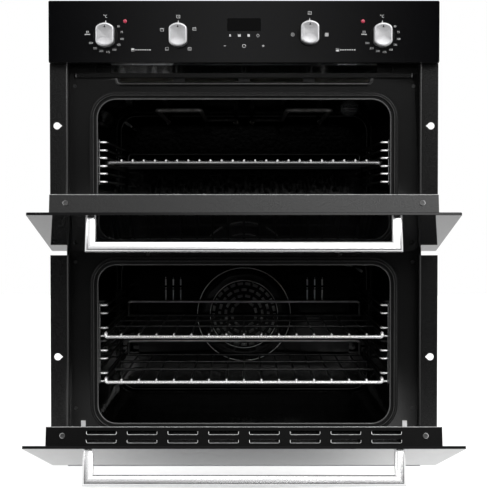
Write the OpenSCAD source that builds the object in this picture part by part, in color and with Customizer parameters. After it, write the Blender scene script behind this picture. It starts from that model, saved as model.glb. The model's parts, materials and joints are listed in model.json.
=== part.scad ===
// Built-under double oven: a grill cavity above a fan cavity, each with a drop-down door.
// X runs to the right, Y runs back into the cabinet, Z runs up.
// The origin is the centre of the underside of the body that goes into the cabinet.

/* [Overall] */
// Height from the underside to the top of the control panel
overall_h = 717; // [715:1:720]
// Width of the control panel and of both door glasses
face_w = 595; // [594:1:596]
// Width across the two mounting flanges
flange_w = 597; // [596:1:598]
// Width of the body that goes into the cabinet
body_w = 550; // [548:1:551]
// Depth of the body behind the front of the cabinet
body_d = 530; // [520:5:560]
// How far the doors and the control panel stand in front of the cabinet
face_t = 20; // [20:1:21]

/* [Doors] */
// Height of the lower door's glass above the underside
lower_door_z = 7; // [6:1:8]
// Height of the lower door's glass
lower_door_h = 328; // [326:1:328]
// Height of the upper door's glass
upper_door_h = 280; // [278:1:280]
// Gap between the two doors
door_gap = 5; // [5:1:6]
// Angle that the upper door stands open
upper_open = 78; // [0:1:90]
// Angle that the lower door stands open
lower_open = 76; // [0:1:90]
// Thickness of the outer glass
glass_t = 4; // [3.5:0.5:4]

/* [Cavities] */
// Outside width of both cavities
cavity_w = 456; // [450:1:458]
// Outside depth of both cavities
cavity_d = 401; // [395:1:405]
// Outside height of the upper cavity
upper_cavity_h = 176; // [174:1:177]
// Height of the middle of the upper cavity
upper_cavity_z = 482.8; // [482:0.1:484]
// Outside height of the lower cavity
lower_cavity_h = 249; // [246:1:250]
// Height of the middle of the lower cavity
lower_cavity_z = 190; // [189:0.5:191]
// Corner radius of the cavities
cavity_r = 30; // [25:1:32]

/* [Shelves] */
// Radius of the grill shelf's rim wire
rim_r = 3; // [2.5:0.5:3]
// Radius of the rim wire of the two lower shelves
rail_r = 2.5; // [2.3:0.1:2.5]
// Front of the grill shelf
grill_shelf_y = 28; // [28:1:40]
// Lowest runner of the upper cavity
upper_level_z = 442.2; // [441:0.1:443]
// Height from one upper level to the next
upper_pitch = 24.4; // [24:0.1:25]
// Lowest runner of the lower cavity
lower_level_z = 131.4; // [130:0.1:132]
// Height from one lower level to the next
lower_pitch = 35.4; // [34:0.1:35.5]

/* [Controls] */
// Distance of the thermostat knobs from the middle
thermostat_x = 210.5; // [205:0.5:212]
// Distance of the selector knobs from the middle
selector_x = 100; // [98:0.5:102]
// Height of the knobs
knob_z = 664; // [662:1:666]
// How much higher the lower oven's selector sits
selector_lift = 3.5; // [0:0.5:4]
// Radius of a knob's grip
knob_r = 18.2; // [17:0.1:18.2]
// Width of a grip across its two flats
knob_flat_w = 28.2; // [26:0.1:30]

/* [Hidden] */
$fn = 48;

eps = 1;                 // how far a cutting shape runs past the solid it cuts
sheet = 1;               // thickness of the body's steel sheets
half_w = body_w / 2;
panel_y = 16;            // front of the recessed front panels
shell_y = panel_y + sheet;
body_top = 700;
base_t = 2;

// Doors: heights along a door are counted from its hinge axis
axis_back = 2;           // the hinge axes lie just in front of the cabinet
axis_up = 16;            // from the lower edge of a glass up to its hinge axis
door_front = face_t - axis_back;
door_glass_back = door_front - glass_t;
door_inside = -12;       // the inner glass's face, behind the axis
door_frame_w = 534;
door_foot = -8;
end_drop = 6;            // from the free edge of the glass down to the end cap
upper_axis_z = lower_door_z + lower_door_h + door_gap + axis_up;
lower_axis_z = lower_door_z + axis_up;
upper_reach = upper_door_h - axis_up;
lower_reach = lower_door_h - axis_up;
panel_z = lower_door_z + lower_door_h + door_gap + upper_door_h + 3.5;
hinge_x = 250;
pin_r = 4;
run_gap = 0.05;          // radial clearance of a pin or shaft that turns
cap_t = 3;

// Mounting flanges
trim_z = 36;
trim_bend_r = 5;
screw_hole_r = 5.5;
screw_x = 287.5;
screw_zs = [172, 528];
notch_zs = [329, 348];

// Cavity, racks and shelves
cavity_back = panel_y + cavity_d;
blanket_t = 20;
rack_x = 214;
post_x = 225.2;
post_r = 1.2;
rack_wire_r = 1.6;
rack_ys = [22, 380];
channel_h = 12.6;
rail_gap = 0.3;          // how far a shelf's rails stand above the wires they slide on
shelf_w = 430;
shelf_back_y = 378;
drop_bend = rail_r + 0.3;
slat_r = 1.5;

// Fan and lamps
fan_z = 208;
cover_y = 391;
lamp_x = 180;
lamp_y = 246;

// Controls
knob_xs = [-thermostat_x, -selector_x, selector_x, thermostat_x];
knob_zs = [knob_z, knob_z, knob_z + selector_lift, knob_z];
spindle_r = 3;
window = [51, 19];
window_z = 680.7;
lamp_light_x = 181;
lamp_light_z = 685;
duct_x = 230;
probe_x = 205;
upper_probe_z = 548;
lower_probe_z = 290;
blower = [365, 650];     // depth and height of the blower's shaft

// ---- Shapes used by several pieces ----

module front() translate([0, -body_d / 2, 0]) children();

module both_sides() {
  children();
  mirror([1, 0, 0]) children();
}

module block(lo, hi) translate(lo) cube(hi - lo);

// A flat outline drawn in X and Z, given thickness from y0 to y1
module upright(y0, y1, z = 0)
  translate([0, y1, z]) rotate([90, 0, 0]) linear_extrude(y1 - y0) children();

module along_x(x0, x1, y, z, r) translate([x0, y, z]) rotate([0, 90, 0]) cylinder(h = x1 - x0, r = r);
module along_y(y0, y1, x, z, r) translate([x, y0, z]) rotate([-90, 0, 0]) cylinder(h = y1 - y0, r = r);
module along_z(z0, z1, x, y, r) translate([x, y, z0]) cylinder(h = z1 - z0, r = r);

module rounded_rect(w, h, r) {
  square([w - 2 * r, h], center = true);
  square([w, h - 2 * r], center = true);
  for (x = [-1, 1], y = [-1, 1]) translate([x * (w / 2 - r), y * (h / 2 - r)]) circle(r = r);
}

// A quarter bend of round wire, in the XY plane
module elbow(r, bend) rotate_extrude(angle = 90) translate([bend, 0]) circle(r = r);

// A closed wire rim with bent corners, in the XY plane
module wire_rim(w, d, bend, r) {
  for (s = [-1, 1]) {
    along_y(-(d / 2 - bend), d / 2 - bend, s * w / 2, 0, r);
    along_x(-(w / 2 - bend), w / 2 - bend, s * d / 2, 0, r);
  }
  for (a = [0:3]) {
    sx = [1, -1, -1, 1][a];
    sy = [1, 1, -1, -1][a];
    translate([sx * (w / 2 - bend), sy * (d / 2 - bend), 0]) rotate([0, 0, 90 * a]) elbow(r, bend);
  }
}

// ---- Body shell ----

module base_panel() color("#8d8f92") front() difference() {
  union() {
    block([-half_w + 1, 12, 0], [half_w - 1, body_d - sheet, base_t]);
    both_sides() block([half_w - 2, 40, base_t], [half_w - 1, body_d - 10, 12]);
  }
  for (x = [-200:40:200]) block([x - 12, 430, -eps], [x + 12, 438, base_t + eps]);
}

module side_panel() difference() {
  union() {
    block([half_w - sheet, shell_y, 0], [half_w, body_d, body_top - sheet]);
    block([half_w - sheet, 0, panel_z + 2], [half_w, body_d, body_top - sheet]);
  }
  for (z = [560:18:668], y = [330, 410])
    block([half_w - 2, y, z], [half_w + eps, y + 50, z + 6]);
  for (y = [60, 470], z = [80, 360, 640])
    along_x(half_w - 2, half_w + eps, y, z, 2.2);
}
module side_panel_right() color("#9a9c9f") front() side_panel();
module side_panel_left() color("#9a9c9f") front() mirror([1, 0, 0]) side_panel();

module back_panel() color("#9a9c9f") front() difference() {
  block([-half_w + sheet, body_d - sheet, 0], [half_w - sheet, body_d, body_top - sheet]);
  for (x = [-120:24:120]) block([x - 4, body_d - 2, 150], [x + 4, body_d + eps, 266]);
  for (x = [-230:20:90]) block([x - 4, body_d - 2, 610], [x + 4, body_d + eps, 660]);
  block([148, body_d - 2, 598], [232, body_d + eps, 662]);
}

module top_panel() color("#9a9c9f") front() difference() {
  block([-half_w, 0, body_top - sheet], [half_w, body_d, body_top]);
  for (x = [-200:25:200], y = [120, 440])
    block([x - 4, y, body_top - 2], [x + 4, y + 50, body_top + eps]);
}

// Flange that is screwed to the cabinet, bent back along its inner edge to meet the front panel
module side_trim() difference() {
  union() {
    block([270 + trim_bend_r, -sheet, trim_z], [flange_w / 2, 0, panel_z]);
    translate([270 + trim_bend_r, trim_bend_r - sheet, trim_z]) linear_extrude(panel_z - trim_z)
      intersection() {
        difference() {
          circle(r = trim_bend_r);
          circle(r = trim_bend_r - sheet);
        }
        translate([-trim_bend_r, -trim_bend_r]) square(trim_bend_r);
      }
    block([270, trim_bend_r - sheet, trim_z], [270 + sheet, panel_y, panel_z]);
  }
  for (z = screw_zs) {
    along_y(-2, 1, screw_x, z, screw_hole_r);
    upright(-2, 1, z) polygon([[screw_x - 5, -2.6], [screw_x - 8, 0], [screw_x - 5, 2.6]]);
  }
  block([269, -2, notch_zs[0]], [flange_w / 2 + 1, panel_y - 1.4, notch_zs[1]]);
}
module side_trim_right() color("#2b2b2d") front() side_trim();
module side_trim_left() color("#2b2b2d") front() mirror([1, 0, 0]) side_trim();

// Slots that the hinge arms pass through, beside a hinge axis at height z
module hinge_slots(z) both_sides()
  block([hinge_x - 5, panel_y - eps, z - 13], [hinge_x + 5, shell_y + eps, z + 9]);

slot_w = 83;
slot_pitch = 100.5;
ledge_x = 258;
ledge_z = 608;
ledge_h = 4.6;           // the pressed step under the air outlet stands just above the slots
ledge_y = 11;            // clear of the upper door's frame when that door is shut
module front_panel_upper() color("#1d1d1f") front() difference() {
  union() {
    block([-half_w, panel_y, 340], [half_w, shell_y, ledge_z + 1]);
    block([-ledge_x, ledge_y, ledge_z - ledge_h], [ledge_x, panel_y, ledge_z + 1]);
    both_sides() along_z(ledge_z - ledge_h, ledge_z + 1, ledge_x, panel_y, panel_y - ledge_y);
    // Pressed bead below the cooling slots, with its ends turned up
    along_x(-190, 190, panel_y, 593, 3);
    both_sides() {
      translate([190, panel_y, 601]) rotate([-90, 0, 0]) elbow(3, 8);
      translate([198, panel_y, 601]) sphere(r = 3);
    }
  }
  upright(panel_y - 2, shell_y + eps, upper_cavity_z)
    rounded_rect(cavity_w + 0.4, upper_cavity_h + 0.4, cavity_r + 0.2);
  block([-200, shell_y, 580], [200, 30, 603]);
  for (i = [-1.5:1:1.5])
    upright(panel_y - eps, shell_y + eps, 599.6)
      translate([i * slot_pitch, 0]) rounded_rect(slot_w, 5.6, 2.5);
  hinge_slots(upper_axis_z);
  for (x = [-262, 262], z = [386, 590]) along_y(panel_y - eps, shell_y + eps, x, z, 1.6);
}

module front_panel_lower() color("#1d1d1f") front() difference() {
  block([-half_w, panel_y, base_t], [half_w, shell_y, 340]);
  upright(panel_y - 2, shell_y + eps, lower_cavity_z)
    rounded_rect(cavity_w + 0.4, lower_cavity_h + 0.4, cavity_r + 0.2);
  hinge_slots(lower_axis_z);
  for (x = [-262, 262], z = [90, 318]) along_y(panel_y - eps, shell_y + eps, x, z, 1.6);
  for (x = [-149, 149]) along_y(panel_y - eps, shell_y + eps, x, 330, 1.6);
}

// Screws that hold the front panels, with pan heads
module frame_screws() color("#2a2a2c") front() {
  for (x = [-262, 262], z = [90, 318, 386, 590]) pan_screw_y(x, z, 2.8);
  for (x = [-149, 149]) pan_screw_y(x, 330, 2.8);
}
module pan_screw_y(x, z, head) difference() {
  union() {
    along_y(panel_y - 1.6, panel_y, x, z, head);
    along_y(panel_y - 0.5, panel_y + 8, x, z, 1.5);
  }
  for (a = [0, 90]) translate([x, panel_y - 1.6, z]) rotate([0, a, 0])
    cube([3.4, 1.4, 0.7], center = true);
}

// ---- Cavities ----

module cavity(z, h) difference() {
  upright(panel_y, cavity_back, z) rounded_rect(cavity_w, h, cavity_r);
  upright(panel_y - eps, cavity_back - sheet, z) rounded_rect(cavity_w - 2, h - 2, cavity_r - 1);
  // Lamp opening in the ceiling
  along_z(z + h / 2 - 2, z + h / 2 + eps, lamp_x, lamp_y, 16);
}
grill_xs = [14.6, 137];
grill_z = 555.5;
module cavity_upper() color("#141416") front() difference() {
  cavity(upper_cavity_z, upper_cavity_h);
  for (x = grill_xs, s = [-1, 1]) along_y(cavity_back - 2, cavity_back + eps, s * x, grill_z, 4);
  along_y(cavity_back - 2, cavity_back + eps, -probe_x, upper_probe_z, 2);
}
module cavity_lower() color("#141416") front() difference() {
  cavity(lower_cavity_z, lower_cavity_h);
  along_y(cavity_back - 2, cavity_back + eps, 0, fan_z, 9);
  for (s = [-1, 1])
    along_y(cavity_back - 2, cavity_back + eps, s * ring_tail_x, fan_z + ring_tail_z, 4.4);
  along_y(cavity_back - 2, cavity_back + eps, probe_x, lower_probe_z, 2);
}

// Woven tube seal round each cavity's mouth
gasket_w = 10;
module gasket(z, h) {
  difference() {
    upright(panel_y - 3, panel_y, z)
      rounded_rect(cavity_w + 2 + 2 * gasket_w, h + 2 + 2 * gasket_w, cavity_r + 1 + gasket_w);
    upright(panel_y - 4, panel_y + 1, z) rounded_rect(cavity_w + 2, h + 2, cavity_r + 1);
  }
  translate([0, panel_y - 3, z]) rotate([90, 0, 0])
    wire_rim(cavity_w + 2 + gasket_w, h + 2 + gasket_w, cavity_r + 1 + gasket_w / 2, 2.6);
}
module door_gaskets() color("#3a3a3c") front() {
  gasket(upper_cavity_z, upper_cavity_h);
  gasket(lower_cavity_z, lower_cavity_h);
}

// Mineral wool wrapped round each cavity
module blanket(z, h) difference() {
  upright(24, cavity_back + blanket_t, z)
    rounded_rect(cavity_w + 2 * blanket_t, h + 2 * blanket_t, cavity_r + blanket_t);
  upright(23, cavity_back + 0.2, z) rounded_rect(cavity_w + 0.4, h + 0.4, cavity_r + 0.2);
  along_z(z + h / 2 - 2, z + h / 2 + blanket_t + eps, lamp_x, lamp_y, 20);
}
module insulation_blankets() color("#d9d3c2") front() {
  difference() {
    blanket(upper_cavity_z, upper_cavity_h);
    for (x = grill_xs, s = [-1, 1]) along_y(cavity_back - 2, cavity_back + 40, s * x, grill_z, 6);
    along_y(cavity_back - 2, cavity_back + 40, -probe_x, upper_probe_z, 3);
  }
  difference() {
    blanket(lower_cavity_z, lower_cavity_h);
    along_y(cavity_back - 2, cavity_back + 40, 0, fan_z, 12);
    for (s = [-1, 1])
      along_y(cavity_back - 2, cavity_back + 40, s * ring_tail_x, fan_z + ring_tail_z, 6);
    along_y(cavity_back - 2, cavity_back + 40, probe_x, lower_probe_z, 3);
  }
}

// ---- Heating elements, lamps and fan ----

// Each half runs in from the back wall, out to the side and round a front bend
tube_r = 3.2;
grill_run_x = 68;
grill_bend = 8;
module grill_half() {
  x0 = grill_xs[0];
  x1 = grill_run_x;
  x2 = grill_xs[1];
  b = grill_bend;
  front_y = 55;
  turn_y = 340;
  along_y(turn_y + b, cavity_back + 30, x0, 0, tube_r);
  translate([x0 + b, turn_y + b, 0]) rotate([0, 0, 180]) elbow(tube_r, b);
  along_x(x0 + b, x1 - b, turn_y, 0, tube_r);
  translate([x1 - b, turn_y - b, 0]) elbow(tube_r, b);
  along_y(front_y + b, turn_y - b, x1, 0, tube_r);
  translate([x1 + b, front_y + b, 0]) rotate([0, 0, 180]) elbow(tube_r, b);
  along_x(x1 + b, x2 - b, front_y, 0, tube_r);
  translate([x2 - b, front_y + b, 0]) rotate([0, 0, -90]) elbow(tube_r, b);
  along_y(front_y + b, cavity_back + 30, x2, 0, tube_r);
}
module grill_element() color("#5c5a58") front() translate([0, 0, grill_z]) both_sides() grill_half();

// Ring round the fan, open at the foot where its two tails leave through the back wall
ring_r = 74;
ring_y = 405;
ring_tail_a = 12;
ring_tail_x = ring_r * sin(ring_tail_a);
ring_tail_z = -ring_r * cos(ring_tail_a);
module ring_element() color("#5c5a58") front() {
  translate([0, ring_y, fan_z]) rotate([90, 0, 0]) rotate([0, 0, ring_tail_a - 90])
    rotate_extrude(angle = 360 - 2 * ring_tail_a) translate([ring_r, 0]) circle(r = tube_r);
  for (s = [-1, 1])
    along_y(ring_y - 4, cavity_back + 30, s * ring_tail_x, fan_z + ring_tail_z, tube_r + 0.6);
}

// Shallow pan in front of the fan, with a round grille inside a raised ring and two banks of slots
cover_w = 380;
cover_h = 174;
cover_z = 200;
cover_t = 1.2;
grille_slot = [9.5, 5];
grille_ring_r = 22;      // radius of the innermost ring of slots
grille_pitch = 11;       // from one ring of slots to the next
grille_web = 4.3;        // sheet left between two slots of the innermost ring
module fan_cover() color("#2a2a2c") front() difference() {
  union() {
    difference() {
      upright(cover_y, cavity_back - sheet, cover_z) rounded_rect(cover_w, cover_h, 14);
      upright(cover_y + cover_t, cavity_back, cover_z)
        rounded_rect(cover_w - 2 * cover_t, cover_h - 2 * cover_t, 14 - cover_t);
    }
    translate([0, cover_y, fan_z]) rotate([90, 0, 0]) rotate_extrude() {
      polygon([[61, -0.6], [61, 0], [70, 3.6], [79, 3.6], [88, 0], [88, -0.6]]);
      translate([77, 3.6]) circle(r = 1.6);
    }
  }
  for (ring = [0:3]) {
    r = grille_ring_r + ring * grille_pitch;
    slots = round(2 * PI * r / (grille_slot[0] + grille_web));
    for (i = [0:slots - 1])
      translate([0, cover_y, fan_z]) rotate([0, (i + ring / 2) * 360 / slots, 0])
        translate([0, 0, r]) cube([grille_slot[0], 6, grille_slot[1]], center = true);
  }
  for (s = [-1, 1], i = [-1:1], z = [[225, 252], [255, 271]])
    block([s * 128 + i * 13.5 - 2, cover_y - 1, z[0]], [s * 128 + i * 13.5 + 2, cover_y + 2, z[1]]);
}

motor_y = 440;
module fan_impeller() color("#8f9092") front() translate([0, 0, fan_z]) {
  along_y(397, motor_y + 14, 0, 0, pin_r);
  along_y(394.5, 410, 0, 0, 9);
  along_y(409, 410, 0, 0, 68);
  for (a = [0:30:330]) rotate([0, a, 0]) block([-0.6, 396, 34], [0.6, 409.5, 67]);
}
module fan_motor() color("#77797c") front() translate([0, 0, fan_z]) difference() {
  union() {
    along_y(cavity_back + blanket_t + 1, motor_y, 0, 0, 60);
    along_y(motor_y, 495, 0, 0, 36);
  }
  along_y(430, motor_y + 15, 0, 0, pin_r + run_gap);
}

// A lamp socket stands on each cavity's ceiling, with its bulb reaching down into the lens
module lamp_holder(z) {
  difference() {
    along_z(z + 0.2, z + 24, lamp_x, lamp_y, 18);
    along_z(z - 1, z + 16, lamp_x, lamp_y, 15);
  }
  along_z(z + 3, z + 20, lamp_x, lamp_y, 6);
}
module lamp_holders() color("#e6e2d8") front() {
  lamp_holder(upper_cavity_z + upper_cavity_h / 2);
  lamp_holder(lower_cavity_z + lower_cavity_h / 2);
}
module lamp_lens(z) difference() {
  union() {
    along_z(z - 1.2, z, lamp_x, lamp_y, 15.8);
    intersection() {
      translate([lamp_x, lamp_y, z + 3]) sphere(r = 18);
      along_z(z - 20, z - 1.1, lamp_x, lamp_y, 15.8);
    }
  }
  intersection() {
    translate([lamp_x, lamp_y, z + 3]) sphere(r = 16.4);
    along_z(z - 20, z + 2, lamp_x, lamp_y, 13.8);
  }
}
module lamp_lenses() color("#cfd6d8") front() {
  lamp_lens(upper_cavity_z + upper_cavity_h / 2);
  lamp_lens(lower_cavity_z + lower_cavity_h / 2);
}

// ---- Side racks and shelves ----

// One level: a lower and an upper wire that a shelf slides between, each bent out to its posts
rack_bend = 5;
module runner_pair(z) for (wire_z = [z, z + channel_h]) {
  along_y(rack_ys[0] + rack_bend, rack_ys[1] - rack_bend, rack_x, wire_z, rack_wire_r);
  for (y = rack_ys) along_x(rack_x + rack_bend, post_x + post_r, y, wire_z, rack_wire_r);
  translate([rack_x + rack_bend, rack_ys[0] + rack_bend, wire_z])
    rotate([0, 0, 180]) elbow(rack_wire_r, rack_bend);
  translate([rack_x + rack_bend, rack_ys[1] - rack_bend, wire_z])
    rotate([0, 0, 90]) elbow(rack_wire_r, rack_bend);
}
module side_rack(z0, pitch, levels, overhang) {
  for (i = [0:levels - 1]) runner_pair(z0 + i * pitch);
  top_z = z0 + (levels - 1) * pitch + channel_h;
  for (y = rack_ys) along_z(z0 - overhang, top_z + overhang, post_x, y, post_r);
}
module side_racks_upper() color("#d7d8da") front() both_sides()
  side_rack(upper_level_z, upper_pitch, 3, 4);
module side_racks_lower() color("#d7d8da") front() both_sides()
  side_rack(lower_level_z, lower_pitch, 4, 3);

// What fills a rim that lies at height z: slats, two cross wires and a raised bar across the back
module shelf_grid(front_y, z, slat_z, slats) {
  depth = shelf_back_y - front_y;
  slat_spread = 382;
  bar_x = 208;
  bar_r = 2.5;
  bar_up = 25;
  bar_bend = 6;
  cross_r = 2.2;
  for (i = [0:slats - 1])
    along_y(front_y, shelf_back_y, (i / (slats - 1) - 0.5) * slat_spread, slat_z, slat_r);
  for (share = [0.36, 0.68])
    along_x(-shelf_w / 2, shelf_w / 2, front_y + share * depth, max(z, slat_z - slat_r - 2), cross_r);
  translate([0, shelf_back_y, z]) {
    both_sides() {
      along_z(0, bar_up - bar_bend, bar_x, 0, bar_r);
      translate([bar_x - bar_bend, 0, bar_up - bar_bend]) rotate([90, 0, 0]) elbow(bar_r, bar_bend);
    }
    along_x(bar_bend - bar_x, bar_x - bar_bend, 0, bar_up, bar_r);
  }
}

module upper_shelf() color("#d7d8da") front() {
  z = upper_level_z + upper_pitch + rack_wire_r + rim_r + rail_gap;
  translate([0, (grill_shelf_y + shelf_back_y) / 2, z])
    wire_rim(shelf_w, shelf_back_y - grill_shelf_y, 10, rim_r);
  shelf_grid(grill_shelf_y, z, z + rim_r + slat_r - 0.2, 23);
}

// Shelf whose rim drops at the front, so that its front bar hangs just before the racks
module dropped_shelf(level_z) {
  z = level_z + rack_wire_r + rail_r + rail_gap;
  front_y = rack_ys[0] - rack_wire_r - rail_r - 0.5;
  b = drop_bend;
  back_bend = 10;
  bar_z = z - 2 * b;
  both_sides() {
    along_y(front_y + b, shelf_back_y - back_bend, shelf_w / 2, z, rail_r);
    translate([shelf_w / 2, front_y + b, z - b]) rotate([90, 0, -90]) elbow(rail_r, b);
    translate([shelf_w / 2 - b, front_y, z - b]) rotate([-90, 0, 0]) elbow(rail_r, b);
    translate([shelf_w / 2 - back_bend, shelf_back_y - back_bend, z]) elbow(rail_r, back_bend);
  }
  along_x(b - shelf_w / 2, shelf_w / 2 - b, front_y, bar_z, rail_r);
  along_x(back_bend - shelf_w / 2, shelf_w / 2 - back_bend, shelf_back_y, z, rail_r);
  shelf_grid(front_y, z, bar_z + rail_r + slat_r - 0.2, 15);
}
module middle_shelf() color("#d7d8da") front() dropped_shelf(lower_level_z + 2 * lower_pitch);
module lower_shelf() color("#d7d8da") front() dropped_shelf(lower_level_z);

// ---- Control panel ----

panel_mid_z = (overall_h + panel_z) / 2;
module control_panel() color("#101012") front() difference() {
  upright(-face_t, glass_t - face_t, panel_mid_z) rounded_rect(face_w, overall_h - panel_z, 2);
  for (i = [0:3]) along_y(-face_t - 1, glass_t - face_t + 1, knob_xs[i], knob_zs[i], 5);
  for (s = [-1, 1]) along_y(-face_t - 1, glass_t - face_t + 1, s * lamp_light_x, lamp_light_z, 3);
  upright(-face_t - 1, glass_t - face_t + 1, window_z) rounded_rect(window[0], window[1], 1);
}

// Folded channel behind the glass that carries the controls and hangs from the top panel
module panel_bracket() color("#232325") front() difference() {
  union() {
    block([-face_w / 2, glass_t - face_t, panel_z], [face_w / 2, 0, overall_h]);
    block([-250, -1.5, body_top - 2.5], [250, 45, body_top - sheet]);
  }
  block([1.5 - face_w / 2, glass_t - face_t - 1, panel_z + 1.5], [face_w / 2 - 1.5, -1.5, overall_h - 1.5]);
  for (i = [0:3]) along_y(-3, 1, knob_xs[i], knob_zs[i], 5);
  block([-30, -3, 668], [30, 1, 694]);
  for (s = [-1, 1]) along_y(-3, 1, s * lamp_light_x, lamp_light_z, 6);
}

// Dark rings on the glass round the foot of each knob
module knob_bezels() color("#18181a") front() for (i = [0:3]) difference() {
  along_y(-face_t - 2, -face_t, knob_xs[i], knob_zs[i], 19);
  along_y(-face_t - 3, -face_t + 1, knob_xs[i], knob_zs[i], 4.5);
}

module knob(i) color("#c4c5c7") front() translate([knob_xs[i], 0, knob_zs[i]]) difference() {
  intersection() {
    union() {
      along_y(-39.4, -22.4, 0, 0, knob_r);
      along_y(-40.4, -39, 0, 0, knob_r - 1);
    }
    block([-knob_flat_w / 2, -41, -20], [knob_flat_w / 2, -22, 20]);
  }
  along_y(-34, -22, 0, 0, spindle_r);
}
module upper_thermostat_knob() knob(0);
module upper_selector_knob() knob(1);
module lower_selector_knob() knob(2);
module lower_thermostat_knob() knob(3);

module spindle(i) color("#b9a56a") front() along_y(-34, 18, knob_xs[i], knob_zs[i], spindle_r);
module upper_thermostat_spindle() spindle(0);
module upper_selector_spindle() spindle(1);
module lower_selector_spindle() spindle(2);
module lower_thermostat_spindle() spindle(3);

module control_body(i, w, h, depth) difference() {
  block([knob_xs[i] - w / 2, 0, knob_zs[i] - h / 2], [knob_xs[i] + w / 2, depth, knob_zs[i] + h / 2]);
  along_y(-1, 19, knob_xs[i], knob_zs[i], spindle_r + run_gap);
}
// Thermostats, each with a thin tube that ends in a sensing bulb inside its cavity
module probe(x, bulb_z, body_z) {
  rise_y = 446;
  along_y(300, 370, x, bulb_z, 2.5);
  along_y(360, rise_y, x, bulb_z, 1);
  along_z(bulb_z, body_z, x, rise_y, 1);
  along_y(24, rise_y, x, body_z, 1);
  for (z = [bulb_z, body_z]) translate([x, rise_y, z]) sphere(r = 1.6);
}
module thermostats() color("#a9abad") front() {
  control_body(0, 36, 32, 26);
  probe(-probe_x, upper_probe_z, knob_z);
  control_body(3, 36, 32, 26);
  probe(probe_x, lower_probe_z, knob_z);
}
module selector_switches() color("#d8d4c8") front() {
  control_body(1, 40, 34, 34);
  control_body(2, 40, 34, 34);
}
module timer_module() color("#2f4a3a") front() {
  block([-48, 0, 656], [48, 34, 696]);
  block([-24, -14, 672], [24, 0, 689.5]);
}
module panel_lenses() color("#b3202c") front() {
  for (s = [-1, 1]) along_y(-face_t - 0.6, -6, s * lamp_light_x, lamp_light_z, 2.95);
  upright(-face_t, glass_t - face_t, window_z) rounded_rect(window[0] - 0.2, window[1] - 0.2, 0.9);
}

// ---- Cooling air and supply ----

duct_z = [ledge_z + 1, 622];
module air_duct() color("#2b2b2d") front() difference() {
  block([-duct_x, ledge_y, duct_z[0]], [duct_x, 330, duct_z[1]]);
  difference() {
    block([1 - duct_x, ledge_y - 1, duct_z[0] + 1], [duct_x - 1, 331, duct_z[1] - 1]);
    // Twin splayed webs that stiffen the outlet
    for (x = [-100, 0, 100], s = [-1, 1])
      translate([x + s * 3, ledge_y, (duct_z[0] + duct_z[1]) / 2]) rotate([0, s * 14, 0])
        block([-0.6, 0, -9], [0.6, 24, 9]);
  }
}

module blower_housing() color("#a2a4a7") front() {
  y = blower[0];
  z = blower[1];
  difference() {
    block([-125, 330, duct_z[0]], [125, 402, 688]);
    along_x(-123, 123, y, z, 30);
    block([-118, 329, duct_z[0] + 1], [118, y, 640]);
    block([-118, 372, 655], [118, 403, 678]);
    along_x(-126, 126, y, z, 6);
  }
  difference() {
    along_x(128, 165, y, z, 28);
    along_x(120, 150, y, z, spindle_r + run_gap);
  }
  for (a = [-1, 1]) block([125, y + a * 22 - 3, z - 12], [130, y + a * 22 + 3, z + 12]);
}
module blower_rotor() color("#8f9092") front() translate([0, blower[0], blower[1]]) {
  along_x(-124, 149, 0, 0, spindle_r);
  for (x = [-116, -1, 114]) along_x(x, x + 2, 0, 0, 27);
  for (a = [0:22.5:337.5]) rotate([a, 0, 0]) block([-115, -0.6, 20], [115, 0.6, 26.5]);
}

// Supply terminals behind the back panel, with a hole for the cable at the rear
module terminal_box() color("#1f1f21") front() difference() {
  block([150, 488, 600], [230, body_d, 660]);
  along_y(body_d - 16, body_d + 1, 172, 616, 8);
  for (x = [162, 218], z = [612, 648]) along_y(body_d - 3, body_d + 1, x + (z - 630) / 9, z, 1.6);
}

// ---- Hinges ----

// Fixed half: a plate inside the body whose arm reaches out to an eye on the hinge axis
module hinge_receiver(z) difference() {
  union() {
    along_x(hinge_x - 2, hinge_x + 2, -axis_back, z, 6.5);
    block([hinge_x - 2, -axis_back, z - 5], [hinge_x + 2, 80, z + 5]);
    block([hinge_x - 2, shell_y + 0.2, z - 12], [hinge_x + 2, 80, z + 16]);
    block([hinge_x - 3.5, panel_y - 3.5, z - 5], [hinge_x + 3.5, panel_y - 0.2, z + 48]);
  }
  along_x(hinge_x - 3, hinge_x + 3, -axis_back, z, pin_r + run_gap);
}
module hinge_receivers() color("#b9bbbd") front() both_sides() {
  hinge_receiver(upper_axis_z);
  hinge_receiver(lower_axis_z);
}

// ---- Doors: drawn shut about the hinge axis, then swung open ----

module upper_hung() front() translate([0, -axis_back, upper_axis_z]) rotate([upper_open, 0, 0]) children();
module lower_hung() front() translate([0, -axis_back, lower_axis_z]) rotate([lower_open, 0, 0]) children();

handle_drop = 18;        // from the free edge of the glass to the middle of the handle
handle_x = 212;
rail_top = 20;           // depth of the hollow in the frame's top rail
end_screw_x = 244;
hinge_top = 156;         // top of the pockets that hold the moving halves of the hinges

module outer_glass(reach) difference() {
  upright(-door_front, -door_glass_back, (reach - axis_up) / 2) rounded_rect(face_w, reach + axis_up, 3);
  for (s = [-1, 1]) along_y(-door_front - 1, 1 - door_glass_back, s * handle_x, reach - handle_drop, 3);
}

module door_frame(reach) {
  half = door_frame_w / 2;
  top = reach - end_drop - cap_t;
  difference() {
    block([-half, -door_glass_back, door_foot], [half, -door_inside, top]);
    block([-262, -door_inside - 4, 10], [262, -door_inside + 1, top - 3]);
    block([-238, -20, 30], [238, 20, top - 22]);
    block([-236, -door_glass_back + 3, top - rail_top], [236, -door_inside - 4.8, top + eps]);
    both_sides() {
      block([242, -20, 8], [258, 8, hinge_top]);
      block([242, -20, door_foot - 1], [258, 20, 10]);
      along_y(-door_glass_back - 1, 4 - door_glass_back, handle_x, reach - handle_drop, 2.1);
      along_z(top - 14, top + 1, end_screw_x, 0, 1.55);
    }
  }
}

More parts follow.
